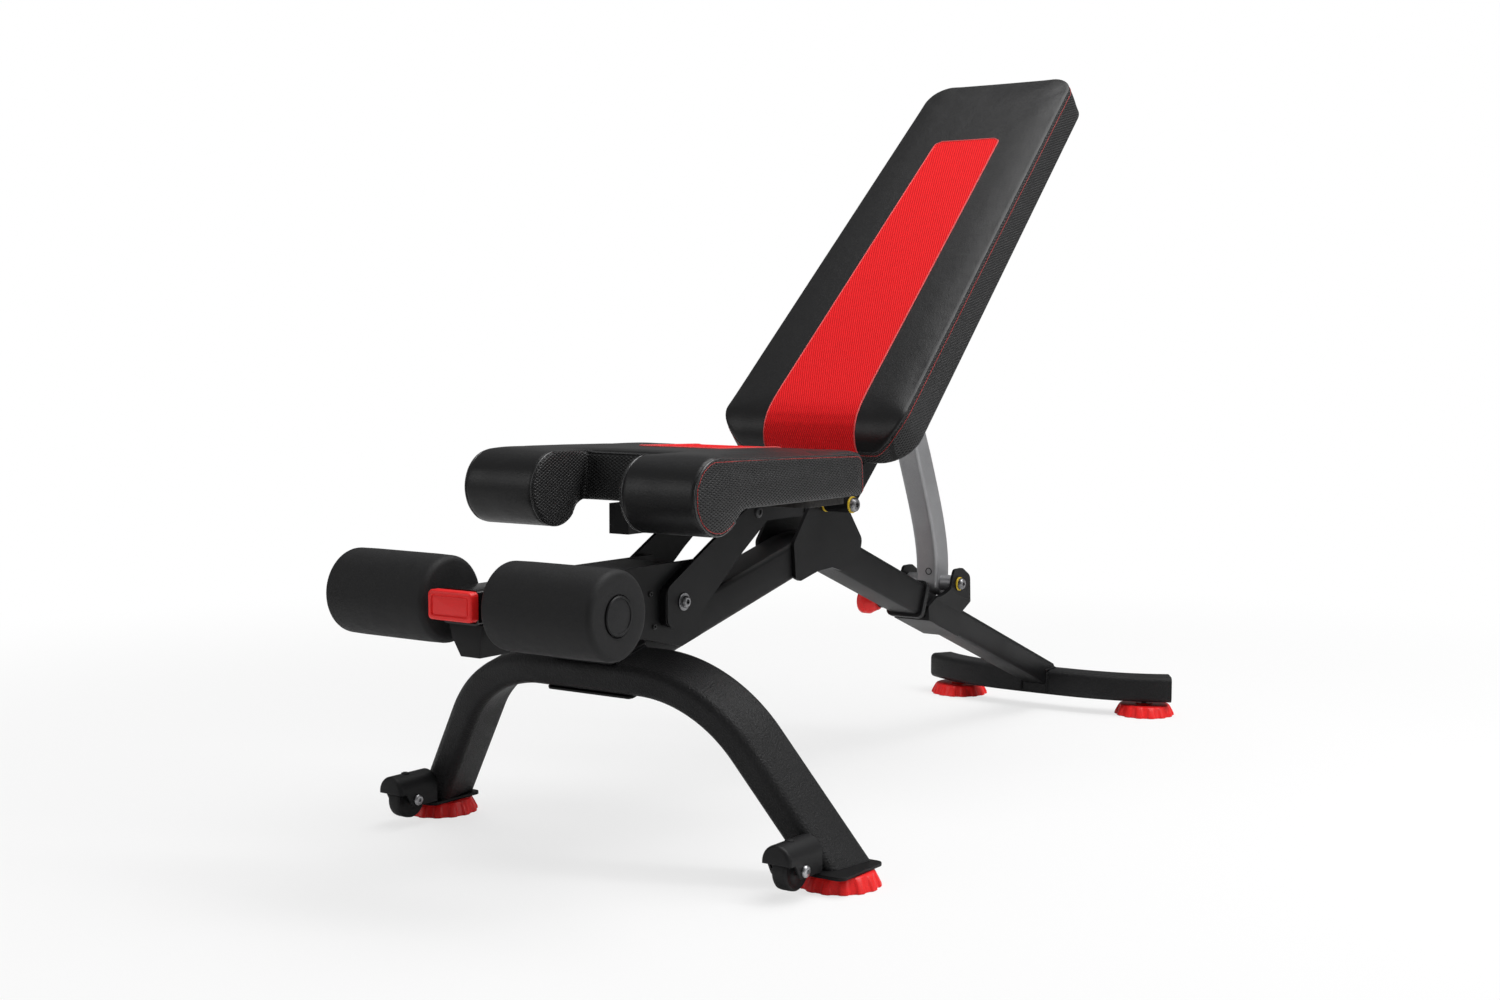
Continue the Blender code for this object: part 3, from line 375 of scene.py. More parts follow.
def lathe(profile, sides=48):
    """A closed solid turned about X: `profile` is a list of (x, radius) that starts and ends on the axis,
    or a closed loop that stays off it."""
    bm = bmesh.new()
    rings = []
    for x, radius in profile:
        if radius == 0:
            rings.append([bm.verts.new((x, 0, 0))] * sides)
            continue
        angles = [2 * math.pi * k / sides for k in range(sides)]
        rings.append([bm.verts.new((x, radius * math.cos(a), radius * math.sin(a))) for a in angles])
    closed = profile[0][1] > 0
    pairs = list(zip(rings, rings[1:])) + ([(rings[-1], rings[0])] if closed else [])
    for first, second in pairs:
        for i in range(sides):
            j = (i + 1) % sides
            corners = list(dict.fromkeys((first[i], first[j], second[j], second[i])))
            if len(corners) > 2:
                bm.faces.new(corners)
    return bm


def arc(centre, radius, start, end, steps):
    """Points along an arc, from and to an angle in degrees."""
    angles = [math.radians(start + (end - start) * i / steps) for i in range(steps + 1)]
    return [(centre[0] + radius * math.cos(a), centre[1] + radius * math.sin(a)) for a in angles]


def rounded(corners, radius, steps=5):
    """A closed outline whose corners are rounded; `radius` is one value, or one for each corner."""
    radii = radius if isinstance(radius, list) else [radius] * len(corners)
    outline = []
    for i, corner in enumerate(corners):
        here = Vector(corner)
        back = (Vector(corners[i - 1]) - here).normalized()
        ahead = (Vector(corners[(i + 1) % len(corners)]) - here).normalized()
        if radii[i] == 0:
            outline.append(tuple(here))
            continue
        half_angle = back.angle(ahead) / 2
        reach = radii[i] / math.tan(half_angle)
        centre = here + (back + ahead).normalized() * radii[i] / math.sin(half_angle)
        start, end = here + back * reach, here + ahead * reach
        for k in range(steps + 1):
            point = start.lerp(end, k / steps) - centre
            outline.append(tuple(centre + point.normalized() * radii[i]))
    return outline


def slab(outline, low, high, view="side"):
    """A flat outline made solid between two levels."""
    put = {"side": lambda u, v, w: (w, u, v), "front": lambda u, v, w: (u, w, v),
           "top": lambda u, v, w: (u, v, w)}[view]
    return loft([[put(u, v, level) for u, v in outline] for level in (low, high)])


def box_outline(left, right, low, high, radius, steps=5):
    """A rounded rectangle."""
    return rounded([(left, low), (right, low), (right, high), (left, high)], radius, steps)


def welded(bm):
    """Merges points that lie on each other, where a loft closes on itself."""
    bmesh.ops.remove_doubles(bm, verts=bm.verts, dist=1e-6)
    return bm


def tube(path, across, half_path, half_across, radius, wall, cuts=(None, None)):
    """A hollow rounded-rectangle tube along a flat path of points; `across` is the normal of its plane.

    Each end is cut by a plane (point, normal), or square. The two ends show the wall's thickness.
    """
    points, across = [Vector(p) for p in path], Vector(across)
    skins = []
    for shrink in (0.0, wall):
        rings = []
        for i, point in enumerate(points):
            run = (points[min(i + 1, len(points) - 1)] - points[max(i - 1, 0)]).normalized()
            side = across.cross(run)
            half = half_path[i] if isinstance(half_path, list) else half_path
            u, v = half - shrink, half_across - shrink
            section = box_outline(-u, u, -v, v, radius - min(shrink, radius * 0.7))
            ring = [point + side * u + across * v for u, v in section]
            cut = cuts[0] if i == 0 else cuts[1] if i == len(points) - 1 else None
            if cut:
                at, normal = Vector(cut[0]), Vector(cut[1])
                ring = [p + run * ((at - p).dot(normal) / run.dot(normal)) for p in ring]
            rings.append(ring)
        skins.append(rings)
    return welded(loft(skins[0] + skins[1][::-1] + [skins[0][0]], caps=False))


def cord(points, radius, sides=8, closed=False):
    """A round cord through points; its ends are closed by blunt caps."""
    points = [Vector(p) for p in points]
    count = len(points)
    rings, side = [], None
    for i, point in enumerate(points):
        before = points[(i - 1) % count] if closed else points[max(i - 1, 0)]
        after = points[(i + 1) % count] if closed else points[min(i + 1, count - 1)]
        run = (after - before).normalized()
        if side is None:
            side = run.orthogonal().normalized()
        side = (side - run * side.dot(run)).normalized()
        other = run.cross(side)
        rings.append([point + (side * math.cos(2 * math.pi * k / sides)
                               + other * math.sin(2 * math.pi * k / sides)) * radius for k in range(sides)])
    if closed:
        return welded(loft(rings + [rings[0]], caps=False))
    step_in = (points[1] - points[0]).normalized() * radius * 0.5
    step_out = (points[-1] - points[-2]).normalized() * radius * 0.5
    first = [points[0].lerp(p, 0.55) - step_in for p in rings[0]]
    last = [points[-1].lerp(p, 0.55) + step_out for p in rings[-1]]
    return loft([first] + rings + [last])


# ---- carried-over CAD nodes
def dress_cad_nodes():
    """Gives each CAD node its procedural finish, and small rounded edges that catch the light."""
    for node in NODES.values():
        mesh = node.data
        for index, material in enumerate(mesh.materials):
            mesh.materials[index] = LOOKS[material.name.split(".")[0]]
        if "custom_normal" in mesh.attributes:
            mesh.attributes.remove(mesh.attributes["custom_normal"])
        mesh.shade_smooth()
        modify(node, "WELD", merge_threshold=0.00002)
        soften(node, 0.0006)


dress_cad_nodes()


# ---- soft cushions
def mesh_of(obj):
    graph = bpy.context.evaluated_depsgraph_get()
    return bpy.data.meshes.new_from_object(obj.evaluated_get(graph))


def scratch(bm):
    """A throw-away object from a bmesh."""
    bmesh.ops.recalc_face_normals(bm, faces=bm.faces)
    return link("scratch", baked("scratch", bm))


def points_of(mesh):
    flat = np.empty(len(mesh.vertices) * 3)
    mesh.vertices.foreach_get("co", flat)
    return flat.reshape(-1, 3)


def kd_tree(points):
    tree = KDTree(len(points))
    for i, point in enumerate(points):
        tree.insert(point, i)
    tree.balance()
    return tree


def shaped(solid, cutter, operation, voxel):
    """The mesh of a solid after a Boolean and a voxel remesh."""
    base, tool = scratch(solid), scratch(cutter)
    modify(base, "BOOLEAN", operation=operation, object=tool, solver="EXACT")
    modify(base, "REMESH", mode="VOXEL", voxel_size=voxel)
    mesh = mesh_of(base)
    for obj in (base, tool):
        bpy.data.objects.remove(obj)
    return mesh


def swell(mesh, pinned, cap, pressure=4.0, frames=20):
    """Blows the cushion up as cloth, with the points that rest on its board held still."""
    rest = points_of(mesh)
    obj = link("cushion_cloth", mesh)
    held = obj.vertex_groups.new(name="held")
    held.add([int(i) for i in np.nonzero(pinned(rest))[0]], 1.0, "REPLACE")
    cloth = modify(obj, "CLOTH").settings
    cloth.use_pressure = True
    cloth.uniform_pressure_force = pressure
    cloth.vertex_group_mass = "held"
    cloth.effector_weights.gravity = 0.0
    cloth.tension_stiffness = cloth.compression_stiffness = 15.0
    scene = bpy.context.scene
    for step in range(1, frames + 1):
        scene.frame_set(step)
    graph = bpy.context.evaluated_depsgraph_get()
    move = points_of(obj.evaluated_get(graph).data) - rest
    scene.frame_set(1)
    bpy.data.objects.remove(obj)
    length = np.linalg.norm(move, axis=1, keepdims=True)
    return rest + move / np.maximum(length, 1e-9) * cap * np.tanh(length / cap)


def smoothed(mesh, points):
    """The cushion after a light smoothing and one subdivision, as a bmesh."""
    bm = bmesh.new()
    bm.from_mesh(mesh)
    for vert, point in zip(bm.verts, points):
        vert.co = point
    bmesh.ops.smooth_vert(bm, verts=bm.verts, factor=0.35, use_axis_x=True, use_axis_y=True,
                          use_axis_z=True)
    base = scratch(bm)
    modify(base, "SUBSURF", levels=1, render_levels=1)
    mesh = mesh_of(base)
    bpy.data.objects.remove(base)
    bm = bmesh.new()
    bm.from_mesh(mesh)
    bpy.data.meshes.remove(mesh)
    return bm


def press_seam(bm, line, depth, reach):
    """Draws the cover in along a seam: points within `reach` of it move inwards."""
    tree = kd_tree(line)
    bm.normal_update()
    for vert, normal in [(v, v.normal.copy()) for v in bm.verts]:
        distance = tree.find(vert.co)[2]
        if distance < reach:
            vert.co += normal * (-depth * (0.5 + 0.5 * math.cos(math.pi * distance / reach)))


def land(tree, start, direction):
    """(point, normal) where a ray meets the cushion, or the nearest place on it if the ray misses."""
    hit, normal, _, _ = tree.ray_cast(Vector(start), Vector(direction).normalized())
    if hit is None:
        hit, normal, _, _ = tree.find_nearest(Vector(start))
    return hit, normal


def resample(points, spacing, closed=False):
    """Points at even spacing along a line."""
    points = [Vector(p) for p in points]
    if closed:
        points = points + [points[0]]
    lengths = [0.0]
    for a, b in zip(points, points[1:]):
        lengths.append(lengths[-1] + (b - a).length)
    count = max(2, round(lengths[-1] / spacing))
    found, k = [], 0
    for i in range(count if closed else count + 1):
        target = lengths[-1] * i / count
        while k < len(points) - 2 and lengths[k + 1] < target:
            k += 1
        span = max(lengths[k + 1] - lengths[k], 1e-9)
        found.append(points[k].lerp(points[k + 1], (target - lengths[k]) / span))
    return found


def stitches(points, length=0.0032, pitch=0.0043, radius=0.00045):
    """Short raised dashes of thread along a line of points."""
    fine = resample(points, pitch / 8)
    per, keep = 8, round(8 * length / pitch)
    parts = []
    for start in range(0, len(fine) - keep, per):
        parts.append(cord([fine[start], fine[start + keep // 2], fine[start + keep]], radius, 6))
    return join(*parts)


def band(grid, thickness=0.0006, sink=0.0012):
    """A thin closed sheet over a grid of (point, normal) on the cushion, its edge turned down into it."""
    bm = bmesh.new()
    tops = [[bm.verts.new(p + n * thickness) for p, n in row] for row in grid]
    lows = [[bm.verts.new(p - n * sink) for p, n in row] for row in grid]
    rows, columns = len(tops), len(tops[0])
    for i in range(rows - 1):
        for j in range(columns - 1):
            bm.faces.new((tops[i][j], tops[i][j + 1], tops[i + 1][j + 1], tops[i + 1][j]))
            bm.faces.new((lows[i][j], lows[i + 1][j], lows[i + 1][j + 1], lows[i][j + 1]))
    rim = [(0, j) for j in range(columns)] + [(i, columns - 1) for i in range(1, rows)]
    rim += [(rows - 1, j) for j in range(columns - 2, -1, -1)] + [(i, 0) for i in range(rows - 2, 0, -1)]
    for (a, b), (c, d) in zip(rim, rim[1:] + rim[:1]):
        bm.faces.new((tops[c][d], tops[a][b], lows[a][b], lows[c][d]))
    return bm


def place_cushion(name, bm, axes_in, body, panel_look, stands_for, is_panel):
    """The cushion as a piece; `is_panel` says which faces have the perforated cover."""
    for face in bm.faces:
        face.material_index = int(is_panel(face))
        face.smooth = True
    bm.transform(axes_in)
    place_mesh(name, baked(name, bm), body, ["black_vinyl", panel_look], stands_for)


def place_strip(side, grid, axes_in, body):
    """A red panel over a grid of (point, normal), with a cord along its sides and its first row."""
    place(f"{side}_red_panel", band(grid), axes_in, body, f"{side}_red", sharp=50)
    rim = [row[0] for row in grid[::-1]] + grid[0][1:-1] + [row[-1] for row in grid]
    rim = [hit + normal * 0.0004 for hit, normal in rim]
    place(f"{side}_red_welt", cord(resample(rim, 0.003), 0.001), axes_in, body, "welt",
          sharp=80)


def strip_reach(half, past_end):
    """Half the width of a red panel near its round front corners."""
    short = max(0.0, STRIP_CORNER - past_end)
    return half - STRIP_CORNER + math.sqrt(STRIP_CORNER ** 2 - short ** 2)


# ---- seat
SEAT_HALF, SEAT_LOW, SEAT_HIGH, SEAT_REAR_Y = 0.1725, 0.4, 0.458, 0.2547
ROLL = (-0.047, 0.416)
ROLL_RADIUS = 0.046
NOTCH_HALF, NOTCH_REAR_Y = 0.06, 0.003
SEAT_SEAM = 0.169           # its side panels start here, each side of the middle
SEAT_STRIP_START, SEAT_STRIP_HALF, STRIP_CORNER = 0.1, 0.06, 0.009
SEAT_VOXEL, SEAT_SWELL = 0.0037, 0.003      # the cushion's grid, and the most a point may move
ON_BOARD = 0.0022            # points closer to the board than this are held
PIPE_SPACING = 0.003


def seat_outline(inset):
    """Side view of the seat, drawn in from the CAD outline."""
    roll, rear = arc(ROLL, ROLL_RADIUS - inset, 95, 318, 40), SEAT_REAR_Y - inset
    flat = [(0.0015, SEAT_LOW + 0.0003), (rear, SEAT_LOW + 0.0003), (rear, SEAT_HIGH - 0.003 - inset),
            (0.06, SEAT_HIGH + 0.002 - inset)]
    return rounded(roll + flat, [0] * (len(roll) + 1) + [0.006, 0.01, 0])


def seat_line(x, inset=0.0):
    """The seat's outline at one level across, without its flat underside."""
    outline = seat_outline(inset)
    start = next(i for i, (y, z) in enumerate(outline) if y > SEAT_REAR_Y - 0.03 and z > SEAT_LOW + 0.004)
    end = next(i for i, (y, z) in enumerate(outline) if y > 0.0 and z < SEAT_LOW + 0.002)
    return [Vector((x, y, z)) for y, z in outline[start:] + outline[:end]]


def nearest_line(tree, points, lift=0.0):
    """The line laid onto the cushion's surface."""
    laid = []
    for point in points:
        hit, normal, _, _ = tree.find_nearest(point)
        laid.append(hit + normal * lift)
    return laid


def eased(points, passes=6):
    """The line with its small kinks averaged out; its ends stay."""
    for _ in range(passes):
        inner = [(a + b * 2 + c) / 4 for a, b, c in zip(points, points[1:], points[2:])]
        points = [points[0]] + inner + [points[-1]]
    return points


def build_seat():
    inset = 0.0024
    solid = slab(seat_outline(inset), -SEAT_HALF + inset, SEAT_HALF - inset)
    half, rear, corner = NOTCH_HALF + inset, NOTCH_REAR_Y + inset, 0.008
    notch = rounded([(-half, -0.2), (half, -0.2), (half, rear), (-half, rear)], [0, 0, corner, corner])
    mesh = shaped(solid, slab(notch, 0.3, 0.6, "top"), "DIFFERENCE", SEAT_VOXEL)
    grown = swell(mesh, lambda p: (p[:, 2] < SEAT_LOW + ON_BOARD) & (p[:, 1] > 0.006), SEAT_SWELL)
    bm = smoothed(mesh, grown)
    for at in (SEAT_SEAM, -SEAT_SEAM, half + 0.003, -half - 0.003):
        bmesh.ops.bisect_plane(bm, geom=bm.verts[:] + bm.edges[:] + bm.faces[:], plane_co=(at, 0, 0),
                               plane_no=(1, 0, 0), dist=1e-5)
    tree = BVHTree.FromBMesh(bm)
    outer = [resample(nearest_line(tree, seat_line(sign * SEAT_SEAM)), PIPE_SPACING) for sign in (-1, 1)]
    inner = []
    for sign in (-1, 1):
        line = [p for p in seat_line(sign * (half + 0.0025))
                if p.y < rear + 0.002 and (p.z > SEAT_LOW + 0.03 or p.y < rear)]
        inner.append(resample(nearest_line(tree, line), PIPE_SPACING))
    line = [Vector((x, rear + 0.0025, SEAT_HIGH)) for x in np.linspace(-half - 0.002, half + 0.002, 50)]
    inner.append(resample(nearest_line(tree, line), PIPE_SPACING))
    for line in outer + inner:
        press_seam(bm, line, 0.0012, 0.0045)
    tree = BVHTree.FromBMesh(bm)

    def is_panel(face):
        at = face.calc_center_median()
        if abs(at.x) > SEAT_SEAM - 0.006 and abs(face.normal.x) > 0.5:
            return True
        return abs(at.x) < half + 0.003 and at.y < rear + 0.003

    bm.normal_update()
    place_cushion("seat_cushion", bm, BENCH, "frame", "seat_mesh", ["seat_pad"], is_panel)
    piping = [cord(eased(nearest_line(tree, line, 0.0005)), 0.0017) for line in outer]
    piping += [cord(eased(nearest_line(tree, line, 0.0004)), 0.0014) for line in inner[:2]]
    piping.append(cord(eased(nearest_line(tree, inner[2], 0.0003)), 0.0014))
    # The piping look's lighter colour is a painted highlight.
    place("seat_piping", join(*piping), BENCH, "frame", "piping", sharp=80)
    dashes = []
    for sign in (-1, 1):
        line = resample(seat_line(sign * 0.2, 0.0072), 0.002)
        dashes.append(stitches([land(tree, point, (-sign, 0, 0))[0] for point in line]))
    place("seat_stitching", join(*dashes), BENCH, "frame", "red_thread", sharp=80)
    build_seat_strip(tree)


def build_seat_strip(tree):
    """The red panel on the rear half of the seat, with round front corners."""
    grid = []
    for y in np.linspace(SEAT_STRIP_START, SEAT_REAR_Y - 0.004, 76):
        reach = strip_reach(SEAT_STRIP_HALF, y - SEAT_STRIP_START)
        grid.append([land(tree, (x, y, SEAT_HIGH + 0.02), (0, 0, -1))
                     for x in np.linspace(-reach, reach, 31)])
    place_strip("seat", grid, BENCH, "frame")


# ---- back rest
PAD_START, PAD_END = 0.05, 0.811
PAD_HIGH_START, PAD_HIGH_END = 0.0813, 0.0801
PAD_HALF_START, PAD_HALF_END = 0.1453, 0.1232
PAD_CORNER_LOW, PAD_CORNER_HIGH = 0.047, 0.042
PAD_ROLL = 0.0455
PAD_BACK_START, PAD_SLOPE = 0.0233, 0.0059
STRIP_HALF_START, STRIP_TAPER, STRIP_END = 0.0723, 0.0298, 0.662
PAD_INSET = 0.0018           # the cushion starts this much inside the CAD pad, and swells
SEAM_DROP, EDGE_WIDTH, STITCH_DROP = 0.0036, 0.0052, 0.004
PAD_VOXEL, PAD_SWELL = 0.0055, 0.0021
CORNER_STEPS = 14
EDGE_PIECES = (40, 130, 34, 130)     # pieces along its lower, right, upper and left edge


def pad_back(s):
    return PAD_BACK_START + PAD_SLOPE * s


def pad_front(s):
    """Height of the pad's front above the hinge line, with the roll-over at its lower end."""
    share = (s - PAD_START) / (PAD_END - PAD_START)
    level = PAD_HIGH_START + (PAD_HIGH_END - PAD_HIGH_START) * share
    reach = PAD_START + PAD_ROLL - s
    return level if reach <= 0 else level - PAD_ROLL + math.sqrt(max(PAD_ROLL ** 2 - reach ** 2, 0))


def pad_plan(inset, steps=10):
    """The pad seen from its front, drawn in from the CAD outline."""
    low, high = PAD_HALF_START - inset, PAD_HALF_END - inset
    start, end = PAD_START + inset, PAD_END - inset
    radii = [PAD_CORNER_LOW - inset] * 2 + [PAD_CORNER_HIGH - inset] * 2
    return rounded([(-low, start), (low, start), (high, end), (-high, end)], radii, steps)


def pad_side(inset):
    """Side view of the back pad, drawn in from the CAD outline everywhere but on its flat back."""
    start, end = PAD_START + inset, PAD_END - inset
    return rounded([(start, pad_back(start)), (end, pad_back(end)), (end, PAD_HIGH_END - inset),
                    (start, PAD_HIGH_START - inset)], [0.002, 0.002, 0.004, PAD_ROLL - inset], 12)


def front_profile(steps):
    """(s, n, normal) down the front of the pad and round its lower end."""
    found = [(s, pad_front(s), (0.0, 1.0)) for s in np.linspace(STRIP_END, PAD_START + PAD_ROLL, steps)]
    for angle in np.linspace(0, 82, 22)[1:]:
        lean = (-math.sin(math.radians(angle)), math.cos(math.radians(angle)))
        found.append((PAD_START + PAD_ROLL + PAD_ROLL * lean[0],
                      PAD_HIGH_START - PAD_ROLL + PAD_ROLL * lean[1], lean))
    return found


def plan_ring(inset):
    """The pad's outline seen from its front, with the same count of points at every inset."""
    outline = [Vector(p) for p in pad_plan(inset, CORNER_STEPS)]
    ring = []
    for corner, pieces in enumerate(EDGE_PIECES):
        first = corner * (CORNER_STEPS + 1)
        ring += outline[first:first + CORNER_STEPS + 1]
        a, b = outline[first + CORNER_STEPS], outline[(first + CORNER_STEPS + 1) % len(outline)]
        ring += [a.lerp(b, k / pieces) for k in range(1, pieces)]
    return ring


def pad_rings():
    """(rings, index of the first ring of the front): the pad from its back, over its edge, to its middle."""
    base, rings = plan_ring(PAD_INSET), []
    for inset, lift in ((0.03, 0.0), (0.004, 0.0), (0.0008, 0.0006), (0.0, 0.0024)):
        rings.append([Vector((p.x, p.y, pad_back(p.y) + lift)) for p in plan_ring(PAD_INSET + inset)])
    top = [pad_front(p.y) - PAD_INSET for p in base]
    for share in (0.12, 0.25, 0.4, 0.55, 0.7, 0.85, 1.0):
        ring = []
        for p, high in zip(base, top):
            low, seam = pad_back(p.y) + 0.0024, high - SEAM_DROP - 0.0012
            away = (p - Vector((0, min(max(p.y, 0.12), 0.74)))).normalized()
            out = away * 0.001 * math.sin(math.pi * share)
            ring.append(Vector((p.x + out.x, p.y + out.y, low + (seam - low) * share)))
        rings.append(ring)
    for inset, drop in ((0.001, SEAM_DROP), (0.0, SEAM_DROP - 0.001)):
        rings.append([Vector((p.x, p.y, high - drop)) for p, high in zip(plan_ring(PAD_INSET + inset), top)])
    first_front = len(rings)
    for angle in np.linspace(12, 90, 8):
        inset = EDGE_WIDTH * (1 - math.cos(math.radians(angle)))
        drop = (SEAM_DROP - 0.001) * (1 - math.sin(math.radians(angle)))
        rings.append([Vector((p.x, p.y, pad_front(p.y) - PAD_INSET - drop))
                      for p in plan_ring(PAD_INSET + inset)])
    edge = plan_ring(PAD_INSET + EDGE_WIDTH)
    for share in (0.06, 0.16, 0.3, 0.46, 0.62, 0.78, 0.92):
        ring = []
        for p in edge:
            at = p.lerp(Vector((0, min(max(p.y, PAD_START + 0.1), PAD_END - 0.1))), share)
            ring.append(Vector((at.x, at.y, pad_front(at.y) - PAD_INSET)))
        rings.append(ring)
    return rings, first_front


def carry_swelling(points, rest, grown, near=10):
    """Moves points as the swollen cloth round them moved."""
    tree = kd_tree(rest)
    for point in points:
        found = tree.find_n(point, near)
        weights = [1 / (distance + 0.002) for _, _, distance in found]
        moves = sum((Vector(grown[i] - rest[i]) * w for (_, i, _), w in zip(found, weights)), Vector())
        point += moves / sum(weights)


def build_back():
    solid = slab(pad_side(PAD_INSET), -0.2, 0.2)
    plan = slab(pad_plan(PAD_INSET), -0.1, 0.2, "top")
    mesh = shaped(solid, plan, "INTERSECT", PAD_VOXEL)
    rest = points_of(mesh)
    grown = swell(mesh, lambda p: p[:, 2] < PAD_BACK_START + PAD_SLOPE * p[:, 1] + ON_BOARD, PAD_SWELL)
    rings, first_front = pad_rings()
    for ring in rings[3:]:
        carry_swelling(ring, rest, grown)
    bm = loft(rings)
    bmesh.ops.recalc_face_normals(bm, faces=bm.faces)
    bm.faces.index_update()
    tree = BVHTree.FromBMesh(bm)
    count, seam_at = len(rings[0]), first_front - 2
    place_cushion("back_cushion", bm, BACK, "backrest", "back_mesh", ["back_pad"],
                  lambda face: 3 * count <= face.index < seam_at * count)
    seam = resample(rings[seam_at], 0.003, closed=True)
    place("back_seam_cord", cord(seam, 0.0008, closed=True), BACK, "backrest", "black_thread",
          sharp=80)
    line = []
    for point in resample(rings[seam_at - 1], 0.0022, closed=True):
        below = Vector((point.x, point.y, max(point.z - STITCH_DROP, pad_back(point.y) + 0.005)))
        hit, normal, _, _ = tree.find_nearest(below)
        line.append(hit + normal * 0.0002)
    place("back_stitching", stitches(line), BACK, "backrest", "red_thread", sharp=80)
    build_back_strip(tree)


def build_back_strip(tree):
    """The red panel down the front, wider towards its lower end, with round upper corners."""
    grid = []
    for s, n, (run, rise) in front_profile(110):
        reach = strip_reach(STRIP_HALF_START - STRIP_TAPER * s, STRIP_END - s)
        grid.append([land(tree, (share * reach, s + run * 0.03, n + rise * 0.03), (0, -run, -rise))
                     for share in np.linspace(-1, 1, 33)])
    place_strip("back", grid, BACK, "backrest")


build_seat()
build_back()


# ---- leg brace
ROLLER_Y, ROLLER_Z, ROLLER_RADIUS = -0.244, 0.3106, 0.047
ROLLER_INNER, ROLLER_OUTER = 0.04, 0.186


def build_rollers():
    for side, sign in SIDES:
        centre = at(0, ROLLER_Y, ROLLER_Z)
        edge, radius = 0.007, ROLLER_RADIUS
        inner = arc((ROLLER_INNER + edge, radius - edge), edge, 180, 90, 6)
        outer = arc((ROLLER_OUTER - edge, radius - edge), edge, 90, 0, 6)
        crown = radius + 0.0004
        middle = [(ROLLER_INNER + edge + 0.02, crown), (ROLLER_OUTER - edge - 0.02, crown)]
        foam_line = ([(ROLLER_INNER, 0.0095), (ROLLER_INNER, 0.03)] + inner + middle + outer
                     + [(ROLLER_OUTER, 0.026), (ROLLER_OUTER - 0.0008, 0.0222),
                        (ROLLER_OUTER - 0.0034, 0.0218), (ROLLER_OUTER - 0.0034, 0.0095)])
        foam_line = [(sign * x, r) for x, r in foam_line]
        place(f"roller_foam_{side}", lathe(foam_line, 72), centre, f"roller_{side}", "black_foam",
              stands_for=[f"foam_roller_{side}"], sharp=50)
        rim = ROLLER_OUTER + 0.0012
        cap = [(rim - 0.004, 0), (rim - 0.004, 0.0205), (rim - 0.001, 0.0208), (rim, 0.02),
               (rim, 0.0182), (rim - 0.0009, 0.0178), (rim - 0.0006, 0.009), (rim - 0.0004, 0)]
        place(f"roller_end_{side}", lathe([(sign * x, r) for x, r in cap], 56), centre, f"roller_{side}",
              "black_plastic", stands_for=[f"roller_cap_{side}"], sharp=40)


build_rollers()


# ---- tubes
TUBE_WALL = 0.0022
ARCH_DEPTH, ARCH_BAR, ARCH_TOP = 0.068, 0.0375, 0.2219
ARCH_KNEE_X, ARCH_BEND, ARCH_SPREAD = 0.1565, 0.157, math.radians(33.3)
ARCH_FOOT_PLANE = 0.0221
RAIL_WIDTH, RAIL_HEIGHT, RAIL_END_Y, HUMP_BEND = 0.05, 0.046, 0.648, 0.18
BRACE_LOW, BRACE_HIGH, BRACE_HALF = 0.2905, 0.3275, 0.025
BRACE_FRONT, BRACE_REAR = -0.274, 0.04
BAR_HALF_LENGTH, BAR_LOW, BAR_HIGH = 0.204, 0.0234, 0.0636
BAR_DEPTH, BAR_MIDDLE_Y, BAR_SWEEP = 0.045, 1.082, 0.043


def build_arch():
    tangent = ARCH_BEND * math.tan((math.pi / 2 - ARCH_SPREAD) / 2)
    turn = 90 - math.degrees(ARCH_SPREAD)
    right = arc((ARCH_KNEE_X - tangent, ARCH_TOP - ARCH_BEND), ARCH_BEND, 90, 90 - turn, 32)
    right.append((ARCH_KNEE_X + ARCH_TOP * math.tan(ARCH_SPREAD), 0.0))
    path = [(-x, 0, z) for x, z in reversed(right)] + [(x, 0, z) for x, z in right]
    lean = math.radians(FRONT_SLOPE)
    up = Vector((0, math.sin(lean), math.cos(lean)))
    cut = (up * ARCH_FOOT_PLANE, up)
    leg = tube(path, (0, 1, 0), ARCH_BAR / 2, ARCH_DEPTH / 2, 0.011, TUBE_WALL, (cut, cut))
    place("arched_leg", leg, ARCH, "frame", "black_textured", stands_for=["front_leg_arch"], sharp=50)


def rail_path(steps=16):
    up, down = math.radians(FRONT_SLOPE), math.radians(REAR_SLOPE)
    reach = HUMP_BEND * math.tan((up - down) / 2)
    first = (HUMP_Y - reach * math.cos(up), HUMP_Z - reach * math.sin(up))
    centre = (first[0] + HUMP_BEND * math.sin(up), first[1] - HUMP_BEND * math.cos(up))
    bend = arc(centre, HUMP_BEND, 90 + FRONT_SLOPE, 90 + REAR_SLOPE, steps)
    level = HUMP_Z * math.cos(up) - (HUMP_Y - ARCH_Y) * math.sin(up)
    start = ARCH_Y + (ARCH_DEPTH / 2 + 0.0003) * math.cos(up) - level * math.sin(up)
    line = [(start, HUMP_Z + (start - HUMP_Y) * math.tan(up))] + bend
    return line + [(RAIL_END_Y, HUMP_Z + (RAIL_END_Y - HUMP_Y) * math.tan(down))]


